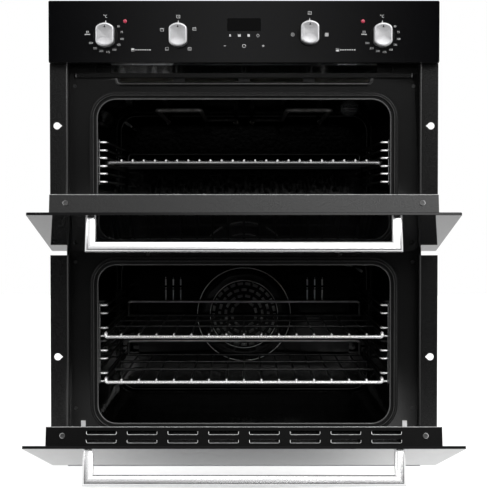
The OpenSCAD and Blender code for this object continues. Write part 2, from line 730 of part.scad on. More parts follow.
module inner_glass(reach) {
  top = reach - end_drop - cap_t;
  upright(-door_inside - 4, -door_inside, (10 + top - 3) / 2) rounded_rect(524, top - 13, 0.5);
}

module end_cap(reach) {
  half = door_frame_w / 2 - 0.25;
  top = reach - end_drop;
  difference() {
    block([-half, -door_glass_back, top - cap_t], [half, -door_inside, top]);
    both_sides() along_z(top - cap_t - 1, top + 1, end_screw_x, 0, 1.8);
  }
}

// A squared bar on two legs that taper towards the glass
module handle(reach) intersection() {
  translate([0, 0, reach - handle_drop - 6]) linear_extrude(12) polygon([
    [-219, -66.4], [219, -66.4], [217.5, -door_front], [206.5, -door_front],
    [205, -54.4], [-205, -54.4], [-206.5, -door_front], [-217.5, -door_front]
  ]);
  difference() {
    translate([-220, 0, reach - handle_drop]) rotate([90, 0, 90]) linear_extrude(440) union() {
      translate([-60.4, 0]) rounded_rect(12, 12, 3);
      translate([-60.4, -6]) square([60.4 - door_front, 12]);
    }
    both_sides() along_y(-30, -door_front + 1, handle_x, reach - handle_drop, 2.05);
  }
}

// Moving half: two cheeks on a web, with the pin between them
module door_hinges() both_sides() {
  for (x = [hinge_x - 6, hinge_x + 3]) difference() {
    union() {
      along_x(x, x + 3, 0, 0, 6);
      block([x, -6, 0], [x + 3, 6, 60]);
      block([x, -10, 12], [x + 3, 6, 150]);
    }
    along_x(x - 1, x + 4, 0, 0, pin_r);
  }
  block([hinge_x - 3, -10, 12], [hinge_x + 3, -8, 150]);
  along_x(hinge_x - 7, hinge_x + 7, 0, 0, pin_r);
}

// Handle screws behind the glass and end-cap screws with crossed heads
module door_screws(reach) both_sides() {
  z = reach - handle_drop;
  along_y(-28, 5 - door_glass_back, handle_x, z, 2);
  along_y(3 - door_glass_back, 5.5 - door_glass_back, handle_x, z, 4);
  top = reach - end_drop;
  difference() {
    union() {
      along_z(top, top + 1.6, end_screw_x, 0, 3.6);
      along_z(top - 16, top + 0.5, end_screw_x, 0, 1.5);
    }
    for (a = [0, 90]) translate([end_screw_x, 0, top + 1.6]) rotate([0, 0, a])
      cube([4.4, 0.8, 1.4], center = true);
  }
}

module upper_door_outer_glass() color("#0c0c0e") upper_hung() outer_glass(upper_reach);
module upper_door_frame() color("#2c2c2e") upper_hung() door_frame(upper_reach);
module upper_door_inner_glass() color("#1a1c1e") upper_hung() inner_glass(upper_reach);
module upper_door_handle() color("#d9dadb") upper_hung() handle(upper_reach);
module upper_door_end_cap() color("#4a4b4d") upper_hung() end_cap(upper_reach);
module upper_door_hinges() color("#b9bbbd") upper_hung() door_hinges();
module upper_door_screws() color("#9b9c9e") upper_hung() door_screws(upper_reach);

module lower_door_outer_glass() color("#0c0c0e") lower_hung() outer_glass(lower_reach);
module lower_door_frame() color("#2c2c2e") lower_hung() door_frame(lower_reach);
module lower_door_inner_glass() color("#1a1c1e") lower_hung() inner_glass(lower_reach);
module lower_door_handle() color("#d9dadb") lower_hung() handle(lower_reach);
// Vent slots in pairs, above and below the middle of the cap
module lower_door_end_cap() color("#232325") lower_hung() difference() {
  end_cap(lower_reach);
  for (i = [-3.5:1:3.5], y = [-7, 4.3])
    translate([i * 54.8, y, lower_reach - end_drop - cap_t - 1]) linear_extrude(cap_t + 2)
      rounded_rect(40.2, 5.4, 2);
}
module lower_door_hinges() color("#b9bbbd") lower_hung() door_hinges();
module lower_door_screws() color("#9b9c9e") lower_hung() door_screws(lower_reach);

base_panel();
side_panel_left();
side_panel_right();
back_panel();
top_panel();
side_trim_left();
side_trim_right();
front_panel_upper();
front_panel_lower();
cavity_upper();
cavity_lower();
door_gaskets();
insulation_blankets();
grill_element();
ring_element();
fan_cover();
fan_motor();
lamp_holders();
lamp_lenses();
side_racks_upper();
side_racks_lower();
control_panel();
panel_bracket();
knob_bezels();
thermostats();
selector_switches();
timer_module();
panel_lenses();
blower_housing();
air_duct();
terminal_box();
hinge_receivers();
frame_screws();
upper_thermostat_knob();
upper_selector_knob();
lower_selector_knob();
lower_thermostat_knob();
upper_thermostat_spindle();
upper_selector_spindle();
lower_selector_spindle();
lower_thermostat_spindle();
fan_impeller();
blower_rotor();
upper_shelf();
middle_shelf();
lower_shelf();
upper_door_outer_glass();
upper_door_frame();
upper_door_inner_glass();
upper_door_handle();
upper_door_end_cap();
upper_door_hinges();
upper_door_screws();
lower_door_outer_glass();
lower_door_frame();
lower_door_inner_glass();
lower_door_handle();
lower_door_end_cap();
lower_door_hinges();
lower_door_screws();
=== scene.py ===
import json
import math

import bmesh
import bpy
from mathutils import Matrix, Vector

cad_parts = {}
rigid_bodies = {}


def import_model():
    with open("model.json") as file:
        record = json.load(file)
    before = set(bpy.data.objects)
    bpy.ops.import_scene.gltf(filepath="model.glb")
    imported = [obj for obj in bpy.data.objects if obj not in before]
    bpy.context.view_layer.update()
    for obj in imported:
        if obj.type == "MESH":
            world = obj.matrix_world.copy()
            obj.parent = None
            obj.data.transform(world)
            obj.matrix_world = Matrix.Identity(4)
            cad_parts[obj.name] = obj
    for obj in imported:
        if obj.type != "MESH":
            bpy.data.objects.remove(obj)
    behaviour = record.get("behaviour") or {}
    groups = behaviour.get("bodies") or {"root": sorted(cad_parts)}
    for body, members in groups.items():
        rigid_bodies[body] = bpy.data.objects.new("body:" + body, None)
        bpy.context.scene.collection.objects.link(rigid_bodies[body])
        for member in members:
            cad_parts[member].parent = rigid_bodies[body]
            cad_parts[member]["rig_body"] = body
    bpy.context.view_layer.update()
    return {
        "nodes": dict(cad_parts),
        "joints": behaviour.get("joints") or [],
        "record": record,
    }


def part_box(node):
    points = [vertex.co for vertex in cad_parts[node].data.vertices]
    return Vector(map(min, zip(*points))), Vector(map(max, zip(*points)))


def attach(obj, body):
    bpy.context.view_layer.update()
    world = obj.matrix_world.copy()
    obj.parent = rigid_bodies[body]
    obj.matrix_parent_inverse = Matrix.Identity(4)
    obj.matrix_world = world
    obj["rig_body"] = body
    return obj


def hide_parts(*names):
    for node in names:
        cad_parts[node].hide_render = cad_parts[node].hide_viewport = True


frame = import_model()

MM = 0.001
nodes = frame["nodes"]


# ---------------------------------------------------------------- places taken from the frame

def middle(node):
    low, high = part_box(node)
    return (low + high) / 2


def hinge_of(body):
    """A point on the hinge axis, and how far the door stands open at rest, in radians"""
    joint = next(j for j in frame["joints"] if j["child"] == body)
    return Vector(joint["pos_m"]), -math.radians(joint["range_deg"][0])


FASCIA_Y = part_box("control_panel")[0].y      # front of the control panel
FLANGE_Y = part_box("side_trim_left")[0].y     # front of the flanges at its sides
DOORS = ("upper", "lower")
DOOR_BODY = {oven: nodes[oven + "_door_end_cap"]["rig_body"] for oven in DOORS}
slot_of = {s["node"]: s["material_slot"] for s in frame["record"]["subparts"]}


# ---------------------------------------------------------------- camera, light and floor

CAMERA_AT = Vector((0.0, FLANGE_Y - 2.274, 0.413))
CAMERA_DOWN = math.radians(1.68)
LENS_MM = 108.9
SENSOR_MM = 36.0

# Brightness of the surroundings, which the camera itself sees as plain white
FRONT_BAND = 0.36         # the soft patch straight in front of the oven
FRONT_DIM = 0.005         # on both sides of that patch
FRONT_HIGH = 1.15         # the softbox above the camera
HIGH_FADED = 0.15         # share of it that is left above its upper edge
FRONT_RIGHT = 9.0         # added in its upper right part
ROUND_LIGHT = 1.25        # beside and behind the oven

# Soft edges of those parts, as ranges of the direction's own x, y or z
AHEAD_EDGE = (-0.92, -0.55)
PATCH_SIDE = (0.0, 0.15)
PATCH_LOW, PATCH_TOP = (0.03, 0.085), (0.14, 0.2)
HIGH_LOW, HIGH_TOP = (0.2, 0.29), (0.47, 0.6)
RIGHT_SIDE, RIGHT_LOW = (-0.16, 0.16), (0.33, 0.39)

SOFTBOX_AIM = (0, -0.1, 0.4)
SOFTBOXES = (("softbox_right", (1.9, -2.3, 1.5), (0.9, 1.4), 26),   # name, place, size, power
             ("softbox_left", (-1.9, -2.3, 1.4), (0.8, 1.4), 16))

FLOOR_DROP = 0.135        # the oven hangs clear of the floor, as it does in its housing
FLOOR_FRONT = -1.2        # where the floor ends, short of the camera
FLOOR_REACH = 6


def add_camera():
    data = bpy.data.cameras.new("camera")
    data.lens = LENS_MM
    data.sensor_width = SENSOR_MM
    camera = bpy.data.objects.new("camera", data)
    camera.location = CAMERA_AT
    camera.rotation_euler = (math.radians(90) - CAMERA_DOWN, 0, 0)
    bpy.context.scene.collection.objects.link(camera)
    bpy.context.scene.camera = camera


def add_softbox(name, at, size, power):
    data = bpy.data.lights.new(name, "AREA")
    data.shape = "RECTANGLE"
    data.size, data.size_y = size
    data.energy = power
    lamp = bpy.data.objects.new(name, data)
    lamp.location = at
    lamp.rotation_euler = (Vector(SOFTBOX_AIM) - Vector(at)).to_track_quat("-Z", "Y").to_euler()
    bpy.context.scene.collection.objects.link(lamp)


def world_light():
    """White all round, but dim in front of the oven apart from a soft patch ahead and a high softbox"""
    world = bpy.data.worlds.new("studio")
    bpy.context.scene.world = world
    world.use_nodes = True
    tree = world.node_tree
    tree.nodes.clear()
    new = tree.nodes.new
    link = tree.links.new

    def math_node(kind, *values):
        node = new("ShaderNodeMath")
        node.operation = kind
        for socket, value in zip(node.inputs, values):
            if isinstance(value, float):
                socket.default_value = value
            else:
                link(value, socket)
        return node.outputs[0]

    def smooth(value, edge, start, end):
        """Goes softly from start to end as the value crosses the edge"""
        node = new("ShaderNodeMapRange")
        node.interpolation_type = "SMOOTHSTEP"
        link(value, node.inputs["Value"])
        for name, number in zip(("From Min", "From Max", "To Min", "To Max"), (*edge, start, end)):
            node.inputs[name].default_value = number
        return node.outputs["Result"]

    direction = new("ShaderNodeTexCoord").outputs["Generated"]
    parts = new("ShaderNodeSeparateXYZ")
    link(direction, parts.inputs[0])
    side = math_node("ABSOLUTE", parts.outputs["X"])
    # 1 straight in front of the oven, 0 beside and behind it
    ahead = smooth(parts.outputs["Y"], AHEAD_EDGE, 1.0, 0.0)
    rise = parts.outputs["Z"]
    band = smooth(side, PATCH_SIDE, FRONT_BAND, FRONT_DIM)
    level = math_node("MULTIPLY", smooth(rise, PATCH_LOW, 0.0, 1.0), smooth(rise, PATCH_TOP, 1.0, 0.0))
    patch = math_node("MULTIPLY", band, level)
    fading = smooth(rise, HIGH_TOP, 1.0, HIGH_FADED)
    high = math_node("MULTIPLY", smooth(rise, HIGH_LOW, 0.0, FRONT_HIGH), fading)
    rightwards = smooth(parts.outputs["X"], RIGHT_SIDE, 0.0, FRONT_RIGHT)
    right = math_node("MULTIPLY", smooth(rise, RIGHT_LOW, 0.0, 1.0), rightwards)
    front = math_node("ADD", patch, math_node("ADD", high, right))
    rest = math_node("MULTIPLY", math_node("SUBTRACT", 1.0, ahead), ROUND_LIGHT)
    light = math_node("ADD", math_node("MULTIPLY", front, ahead), rest)

    seen = new("ShaderNodeBackground")
    seen.inputs["Strength"].default_value = 1.0
    lit = new("ShaderNodeBackground")
    for background in (seen, lit):
        background.inputs["Color"].default_value = (1, 1, 1, 1)
    link(light, lit.inputs["Strength"])
    mix = new("ShaderNodeMixShader")
    link(new("ShaderNodeLightPath").outputs["Is Camera Ray"], mix.inputs[0])
    link(lit.outputs[0], mix.inputs[1])
    link(seen.outputs[0], mix.inputs[2])
    link(mix.outputs[0], new("ShaderNodeOutputWorld").inputs["Surface"])


def add_floor():
    bm = bmesh.new()
    corners = ((-FLOOR_REACH, FLOOR_FRONT), (FLOOR_REACH, FLOOR_FRONT),
               (FLOOR_REACH, FLOOR_REACH), (-FLOOR_REACH, FLOOR_REACH))
    bm.faces.new([bm.verts.new((x, y, -FLOOR_DROP)) for x, y in corners])
    floor = new_object("floor", bm)
    floor.data.materials.append(floor_paint())


# ---------------------------------------------------------------- small mesh tools

def new_object(name, bm):
    mesh = bpy.data.meshes.new(name)
    bm.normal_update()
    bm.to_mesh(mesh)
    bm.free()
    piece = bpy.data.objects.new(name, mesh)
    bpy.context.scene.collection.objects.link(piece)
    return piece


def smooth_by_angle(piece, degrees):
    for polygon in piece.data.polygons:
        polygon.use_smooth = True
    piece.data.set_sharp_from_angle(angle=math.radians(degrees))


def turns(count):
    """Even steps of a full turn, in radians"""
    return [2 * math.pi * i / count for i in range(count)]


def ring_loop(x, z, r, y, points):
    """A circle of points, upright at depth y"""
    return [(x + r * math.cos(t), y, z + r * math.sin(t)) for t in turns(points)]


def rounded_loop(x, z, w, h, r, y, steps=6):
    """A rounded rectangle of points, upright at depth y"""
    loop = []
    for k, (sx, sz) in enumerate(((1, 1), (-1, 1), (-1, -1), (1, -1))):
        for i in range(steps + 1):
            a = math.radians(90 * (k + i / steps))
            loop.append((x + sx * (w / 2 - r) + r * math.cos(a), y, z + sz * (h / 2 - r) + r * math.sin(a)))
    return loop


def loft(bm, rings):
    """Closed skin over rings of points, each ring a closed loop of the same number of points"""
    rows = [[bm.verts.new(p) for p in ring] for ring in rings]
    count = len(rows[0])
    for a, b in zip(rows, rows[1:]):
        for i in range(count):
            j = (i + 1) % count
            bm.faces.new((a[i], a[j], b[j], b[i]))
    bm.faces.new(list(reversed(rows[0])))
    bm.faces.new(rows[-1])
    bmesh.ops.recalc_face_normals(bm, faces=bm.faces)


def swept_loop(name, loop, radius, sides=14):
    """A closed bead of round section that follows a flat upright loop of points"""
    bm = bmesh.new()
    count = len(loop)
    points = [Vector(p) for p in loop]
    rings = []
    for i, point in enumerate(points):
        along = (points[(i + 1) % count] - points[i - 1]).normalized()
        out = along.cross(Vector((0, 1, 0)))
        rings.append([bm.verts.new(point + radius * (math.cos(t) * out + math.sin(t) * Vector((0, 1, 0))))
                      for t in turns(sides)])
    for i in range(count):
        a, b = rings[i], rings[(i + 1) % count]
        for s in range(sides):
            t = (s + 1) % sides
            bm.faces.new((a[s], a[t], b[t], b[s]))
    bmesh.ops.recalc_face_normals(bm, faces=bm.faces)
    piece = new_object(name, bm)
    smooth_by_angle(piece, 60)
    return piece


def rod(bm, start, end, radius, sides=8):
    """A straight rod between two places"""
    start, end = Vector(start), Vector(end)
    along = (end - start).normalized()
    side = along.orthogonal().normalized()
    other = along.cross(side)
    section = [radius * (math.cos(t) * side + math.sin(t) * other) for t in turns(sides)]
    loft(bm, [[p + s for s in section] for p in (start, end)])


def bar_along(bm, points, section):
    """A bar through points of one level, mitred at its corners; its section is in (across, up) places"""
    points = [Vector(p) for p in points]
    up = Vector((0, 0, 1))
    rings = []
    for i, point in enumerate(points):
        before = (point - points[i - 1]).normalized() if i else None
        after = (points[i + 1] - point).normalized() if i + 1 < len(points) else None
        along = ((before or after) + (after or before)).normalized()
        across = along.cross(up).normalized()
        stretch = 1 / across.dot((before or after).cross(up).normalized())
        rings.append([point + a * stretch * across + b * up for a, b in section])
    loft(bm, rings)


def tube_along(bm, points, radius, sides=8):
    bar_along(bm, points, [(radius * math.cos(t), radius * math.sin(t)) for t in turns(sides)])


def keep_side(bm, point, direction):
    """Cuts the mesh at a plane and drops what lies ahead of it"""
    bmesh.ops.bisect_plane(bm, geom=bm.verts[:] + bm.edges[:] + bm.faces[:], dist=1e-7,
                           plane_co=point, plane_no=direction, clear_outer=True)


# ---------------------------------------------------------------- materials

def principled(name, colour, rough, metal=0.0, **even):
    """A material whose even values stand on the shader's own sockets"""
    material = bpy.data.materials.new(name)
    material.use_nodes = True
    shader = material.node_tree.nodes["Principled BSDF"]
    shader.inputs["Base Color"].default_value = (*colour, 1)
    shader.inputs["Roughness"].default_value = rough
    shader.inputs["Metallic"].default_value = metal
    for socket, value in even.items():
        shader.inputs[socket.replace("_", " ")].default_value = value
    return material


def noise_of(material, scale, detail=4, stretch=(1, 1, 1), kind="ShaderNodeTexNoise"):
    """A texture in the piece's own coordinates; scale counts features per metre"""
    tree = material.node_tree
    place = tree.nodes.new("ShaderNodeTexCoord")
    mapping = tree.nodes.new("ShaderNodeMapping")
    mapping.inputs["Scale"].default_value = stretch
    tree.links.new(place.outputs["Object"], mapping.inputs["Vector"])
    texture = tree.nodes.new(kind)
    tree.links.new(mapping.outputs["Vector"], texture.inputs["Vector"])
    texture.inputs["Scale"].default_value = scale
    if "Detail" in texture.inputs:
        texture.inputs["Detail"].default_value = detail
    return texture


def signal_of(texture):
    """What a texture gives out: noise has a factor, cells have a distance"""
    return texture.outputs["Fac"] if "Fac" in texture.outputs else texture.outputs["Distance"]


def feed(material, value, socket):
    tree = material.node_tree
    tree.links.new(value, tree.nodes["Principled BSDF"].inputs[socket])


def ramp_between(material, texture, low, high, start=0.3, end=0.7):
    """Runs the texture through a ramp from one colour to the other"""
    tree = material.node_tree
    ramp = tree.nodes.new("ShaderNodeValToRGB")
    for element, place, colour in zip(ramp.color_ramp.elements, (start, end), (low, high)):
        element.position = place
        element.color = (*colour, 1)
    tree.links.new(signal_of(texture), ramp.inputs["Fac"])
    return ramp.outputs["Color"]


def shade(material, texture, low, high, start=0.3, end=0.7):
    """The texture sways the colour between low and high"""
    feed(material, ramp_between(material, texture, low, high, start, end), "Base Color")


def roughen(material, texture, low, high):
    """The texture sways the roughness between low and high"""
    feed(material, ramp_between(material, texture, (low,) * 3, (high,) * 3), "Roughness")


def bump(material, texture, height):
    tree = material.node_tree
    node = tree.nodes.new("ShaderNodeBump")
    node.inputs["Distance"].default_value = height
    tree.links.new(signal_of(texture), node.inputs["Height"])
    feed(material, node.outputs["Normal"], "Normal")


def floor_paint():
    paint = principled("floor_paint", (0.9, 0.9, 0.9), 0.6)
    grain = noise_of(paint, 60)
    shade(paint, grain, (0.88, 0.88, 0.88), (0.92, 0.92, 0.92))
    return paint


def black_glass():
    tint = (0.0012, 0.0012, 0.0014)
    glass = principled("black_glass", tint, 0.02, IOR=1.5)
    film = noise_of(glass, 9, detail=2)
    roughen(glass, film, 0.012, 0.035)
    speck = noise_of(glass, 900, detail=1)
    shade(glass, speck, tint, tuple(c * 1.8 for c in tint))
    return glass


def satin_black(name, grey, rough=0.42, gloss=0.5):
    """Powder-coated steel: fine orange peel and a slight drift in tone"""
    coat = principled(name, (grey,) * 3, rough, Specular_IOR_Level=gloss)
    drift = noise_of(coat, 7, detail=2)
    shade(coat, drift, (grey * 0.85,) * 3, (grey * 1.15,) * 3)
    peel = noise_of(coat, 1400, detail=2)
    roughen(coat, peel, rough - 0.05, rough + 0.07)
    bump(coat, peel, 0.00004)
    return coat


def enamel(name, grey, rough=0.16, speck=0.004, gloss=0.5):
    """Fired black enamel: glossy, with tiny pale specks and a faint ripple"""
    coat = principled(name, (grey,) * 3, rough, Specular_IOR_Level=gloss)
    dots = noise_of(coat, 1600, detail=1)
    shade(coat, dots, (grey,) * 3, (grey + speck,) * 3, 0.55, 0.75)
    ripple = noise_of(coat, 160, detail=2)
    roughen(coat, ripple, rough - 0.04, rough + 0.05)
    bump(coat, ripple, 0.00006)
    return coat


def chromed_wire():
    chrome = principled("chromed_wire", (0.8, 0.8, 0.8), 0.16, metal=1.0)
    drift = noise_of(chrome, 45, detail=3)
    shade(chrome, drift, (0.66, 0.66, 0.67), (0.86, 0.86, 0.86))
    draw = noise_of(chrome, 700, detail=3)
    roughen(chrome, draw, 0.1, 0.24)
    bump(chrome, draw, 0.00002)
    return chrome


def satin_aluminium():
    """Brushed lengthwise, then anodised"""
    metal = principled("satin_aluminium", (0.66, 0.66, 0.66), 0.22, metal=0.9)
    brush = noise_of(metal, 900, detail=4, stretch=(0.02, 1, 1))
    shade(metal, brush, (0.63, 0.63, 0.64), (0.7, 0.7, 0.7))
    roughen(metal, brush, 0.19, 0.24)
    return metal


def silver_paint():
    """Knobs: silver lacquer with fine flake"""
    lacquer = principled("silver_paint", (0.5, 0.5, 0.51), 0.32, metal=0.7, Coat_Weight=0.3)
    flake = noise_of(lacquer, 2600, detail=2)
    shade(lacquer, flake, (0.4, 0.4, 0.41), (0.64, 0.64, 0.65))
    roughen(lacquer, flake, 0.26, 0.4)
    bump(lacquer, flake, 0.00003)
    return lacquer


def galvanised():
    """Zinc-coated sheet with its crystal pattern"""
    zinc = principled("galvanised", (0.34, 0.35, 0.36), 0.42, metal=0.85)
    spangle = noise_of(zinc, 90, kind="ShaderNodeTexVoronoi")
    shade(zinc, spangle, (0.27, 0.28, 0.29), (0.42, 0.43, 0.44), 0.1, 0.8)
    smear = noise_of(zinc, 25, detail=5)
    roughen(zinc, smear, 0.34, 0.5)
    bump(zinc, noise_of(zinc, 500, detail=2), 0.00002)
    return zinc


def plated_steel(name, grey):
    steel = principled(name, (grey,) * 3, 0.34, metal=1.0)
    drift = noise_of(steel, 60, detail=4)
    shade(steel, drift, (grey * 0.85,) * 3, (grey * 1.1,) * 3)
    roughen(steel, noise_of(steel, 800, detail=3), 0.28, 0.44)
    return steel


def moulded(name, colour, rough=0.45, gloss=0.5):
    """Moulded plastic or ceramic with a fine grain"""
    plastic = principled(name, colour, rough, Specular_IOR_Level=gloss)
    darker, paler = (tuple(c * share for c in colour) for share in (0.9, 1.08))
    shade(plastic, noise_of(plastic, 40), darker, paler)
    grain = noise_of(plastic, 1800, detail=2)
    roughen(plastic, grain, rough - 0.05, rough + 0.08)
    bump(plastic, grain, 0.00004)
    return plastic


def wool():
    fibre = principled("mineral_wool", (0.7, 0.64, 0.5), 0.95)
    strands = noise_of(fibre, 220, detail=8, stretch=(1, 0.3, 1))
    shade(fibre, strands, (0.55, 0.5, 0.38), (0.8, 0.76, 0.62))
    bump(fibre, strands, 0.002)
    return fibre


def seal_rubber():
    """Silicone-covered braid: dark, with a fine cross weave"""
    rubber = principled("seal_rubber", (0.004, 0.004, 0.004), 0.6, Specular_IOR_Level=0.06)
    braid = noise_of(rubber, 420, detail=2, kind="ShaderNodeTexVoronoi")
    shade(rubber, braid, (0.002, 0.002, 0.002), (0.008, 0.008, 0.008), 0.1, 0.7)
    bump(rubber, braid, 0.00015)
    return rubber


def red_lens():
    lens = principled("red_lens", (0.45, 0.02, 0.04), 0.12, Coat_Weight=0.6)
    cell = noise_of(lens, 1500, kind="ShaderNodeTexVoronoi")
    shade(lens, cell, (0.12, 0.004, 0.015), (0.35, 0.02, 0.05), 0.1, 0.8)
    bump(lens, cell, 0.0001)
    return lens


def clear_glass():
    glass = principled("lamp_glass", (0.9, 0.93, 0.95), 0.08, IOR=1.45, Transmission_Weight=0.9)
    roughen(glass, noise_of(glass, 500), 0.05, 0.14)
    return glass


def tinted_glass():
    """Inner pane: dark heat-reflecting glass with a faint drift in tone"""
    glass = principled("inner_glass", (0.01, 0.01, 0.011), 0.04, IOR=1.5, Coat_Weight=0.4)
    shade(glass, noise_of(glass, 6, detail=1), (0.008, 0.008, 0.009), (0.014, 0.014, 0.016))
    roughen(glass, noise_of(glass, 12), 0.03, 0.06)
    return glass


def oxidised():
    steel = principled("oxidised_steel", (0.09, 0.088, 0.086), 0.5, metal=0.8)
    shade(steel, noise_of(steel, 120, detail=5), (0.05, 0.048, 0.046), (0.12, 0.118, 0.115))
    roughen(steel, noise_of(steel, 600), 0.4, 0.62)
    return steel


def brass():
    metal = principled("turned_brass", (0.6, 0.45, 0.2), 0.3, metal=1.0)
    turning = noise_of(metal, 1500, stretch=(1, 0.1, 1))
    shade(metal, turning, (0.5, 0.37, 0.16), (0.7, 0.55, 0.27))
    bump(metal, turning, 0.00003)
    return metal


def door_glass():
    """Outer pane of a door, treated against glare"""
    glass = principled("door_glass", (0.0012, 0.0012, 0.0014), 0.03, IOR=1.2)
    film = noise_of(glass, 9, detail=2)
    roughen(glass, film, 0.015, 0.04)
    shade(glass, noise_of(glass, 900, detail=1), (0.0012, 0.0012, 0.0014), (0.0022, 0.0022, 0.0024))
    return glass


def window_glass():
    """Smoked window over the display"""
    glass = principled("window_glass", (0.0006, 0.0006, 0.0007), 0.12, IOR=1.3)
    roughen(glass, noise_of(glass, 900, detail=1), 0.1, 0.18)
    return glass


def bright_wire():
    """Front bar of a shelf: the chromed wire painted paler, a painted highlight"""
    chrome = principled("bright_wire", (0.9, 0.9, 0.9), 0.2, metal=0.6)
    drift = noise_of(chrome, 45, detail=3)
    shade(chrome, drift, (0.82, 0.82, 0.82), (0.95, 0.95, 0.95))
    draw = noise_of(chrome, 700, detail=3)
    roughen(chrome, draw, 0.2, 0.32)
    bump(chrome, draw, 0.00002)
    return chrome


def print_ink():
    ink = principled("print_ink", (0.55, 0.55, 0.55), 0.5)
    shade(ink, noise_of(ink, 3000), (0.4, 0.4, 0.4), (0.55, 0.55, 0.55))
    return ink


MAKERS = {
    "zinc_steel": galvanised,
    "black_enamel_panel": lambda: satin_black("black_enamel_panel", 0.0035, 0.2),
    "black_trim": lambda: satin_black("black_trim", 0.0035, 0.24),
    "cavity_enamel": lambda: enamel("cavity_enamel", 0.0006, 0.08, 0.001, 0.2),
    "gasket_rubber": seal_rubber,
    "mineral_wool": wool,
    "element_steel": oxidised,
    "fan_cover_enamel": lambda: enamel("fan_cover_enamel", 0.002, 0.2, gloss=0.16),
    "motor_steel": lambda: plated_steel("motor_steel", 0.45),
    "ceramic": lambda: moulded("ceramic", (0.75, 0.72, 0.66), 0.6),
    "lamp_glass": clear_glass,
    "chromed_wire": chromed_wire,
    "black_glass": black_glass,
    "inner_glass": tinted_glass,
    "bezel_plastic": lambda: moulded("bezel_plastic", (0.002, 0.002, 0.002), 0.6, 0.15),
    "control_metal": lambda: plated_steel("control_metal", 0.55),
    "switch_plastic": lambda: moulded("switch_plastic", (0.72, 0.68, 0.56)),
    "circuit_green": lambda: moulded("circuit_green", (0.03, 0.14, 0.06)),
    "red_lens": red_lens,
    "knob_silver": silver_paint,
    "brass_spindle": brass,
    "handle_aluminium": satin_aluminium,
    "cap_grey": lambda: satin_black("cap_grey", 0.0025, 0.26, 0.24),
    "cap_black": lambda: satin_black("cap_black", 0.0015, 0.36, 0.04),
    "hinge_zinc": lambda: plated_steel("hinge_zinc", 0.85),
    "screw_black": lambda: plated_steel("screw_black", 0.05),
    "printed_marks": print_ink,
    "terminal_plastic": lambda: moulded("terminal_plastic", (0.02, 0.02, 0.02)),
    "window_glass": window_glass,
    "door_glass": door_glass,
    # The finishes from here to the end of the table are paler or darker copies of their slots' finishes,
    # painted light: painted shade on the rack posts, rim bar and rear wires deep in the cavities, and painted
    # highlights on the seal beads, outlet webs, fan cover rings and fins, stop bars, mouth lips, shelf front
    # bars and end-cap edges
    "bar_and_post_shade": lambda: plated_steel("bar_and_post_shade", 0.17),
    "seal_bead": lambda: satin_black("seal_bead", 0.024, 0.28),
    "web_edge_highlight": lambda: satin_black("web_edge_highlight", 0.14, 0.3),
    "fin_edge_highlight": lambda: plated_steel("fin_edge_highlight", 0.9),
    "stop_wire_highlight": lambda: plated_steel("stop_wire_highlight", 0.8),
    "lip_enamel_highlight": lambda: enamel("lip_enamel_highlight", 0.06, 0.16),
    "bright_wire": bright_wire,
    "edge_highlight": lambda: plated_steel("edge_highlight", 0.48),
    "rear_wire_shade": lambda: plated_steel("rear_wire_shade", 0.06),
}
finishes = {name: make() for name, make in MAKERS.items()}
# Nodes that look unlike the rest of their slot
SPECIAL = {"panel_bracket": "black_trim", "upper_door_outer_glass": "door_glass",
           "lower_door_outer_glass": "door_glass", "upper_door_screws": "screw_black",
           "lower_door_screws": "screw_black"}


def finish_of(node):
    return SPECIAL.get(node, slot_of[node])


def finished(piece, body, slot, finish, *replaced):
    """Gives a new piece its finish and its body, and hides the CAD nodes it stands for; the slot argument is
    not used
    """
    piece.data.materials.clear()
    piece.data.materials.append(finishes[finish])
    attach(piece, body)
    if replaced:
        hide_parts(*replaced)


# ---------------------------------------------------------------- knobs

KNOB_POINTS = 96
KNOB_EDGE = 2.2 * MM      # rounding between a knob's side and its face
KNOB_FOOT = 0.5 * MM      # easing of the edge at its foot
KNOB_DRAFT = 0.35 * MM    # how much narrower a knob is at its face than at its foot
KNOB_DISH = 0.9 * MM      # how deep the face is hollowed
CORNER_POWER = 22         # how tightly the flats turn into the round ends
EDGE_TURNS = range(15, 91, 15)                    # degrees round the edge of the face
DISH_SHARES = (0.94, 0.85, 0.7, 0.5, 0.3, 0.1)    # shares of the face's radius that the hollow is drawn at
POINTER_TIP = 4.0 * MM    # the dark pointer's tip and foot, from the knob's upper edge
POINTER_FOOT = 7.4 * MM
POINTER_HALF = 1.5 * MM
POINTER_DEPTHS = (-0.1 * MM, 0.85 * MM)   # its front and back, from the knob's foremost edge


def grip_radius(angle, radius, flat):
    """Outline of a round grip cut by two upright flats, with its corners eased"""
    to_flat = flat / max(abs(math.cos(angle)), 1e-6)
    return (radius ** -CORNER_POWER + to_flat ** -CORNER_POWER) ** (-1 / CORNER_POWER)


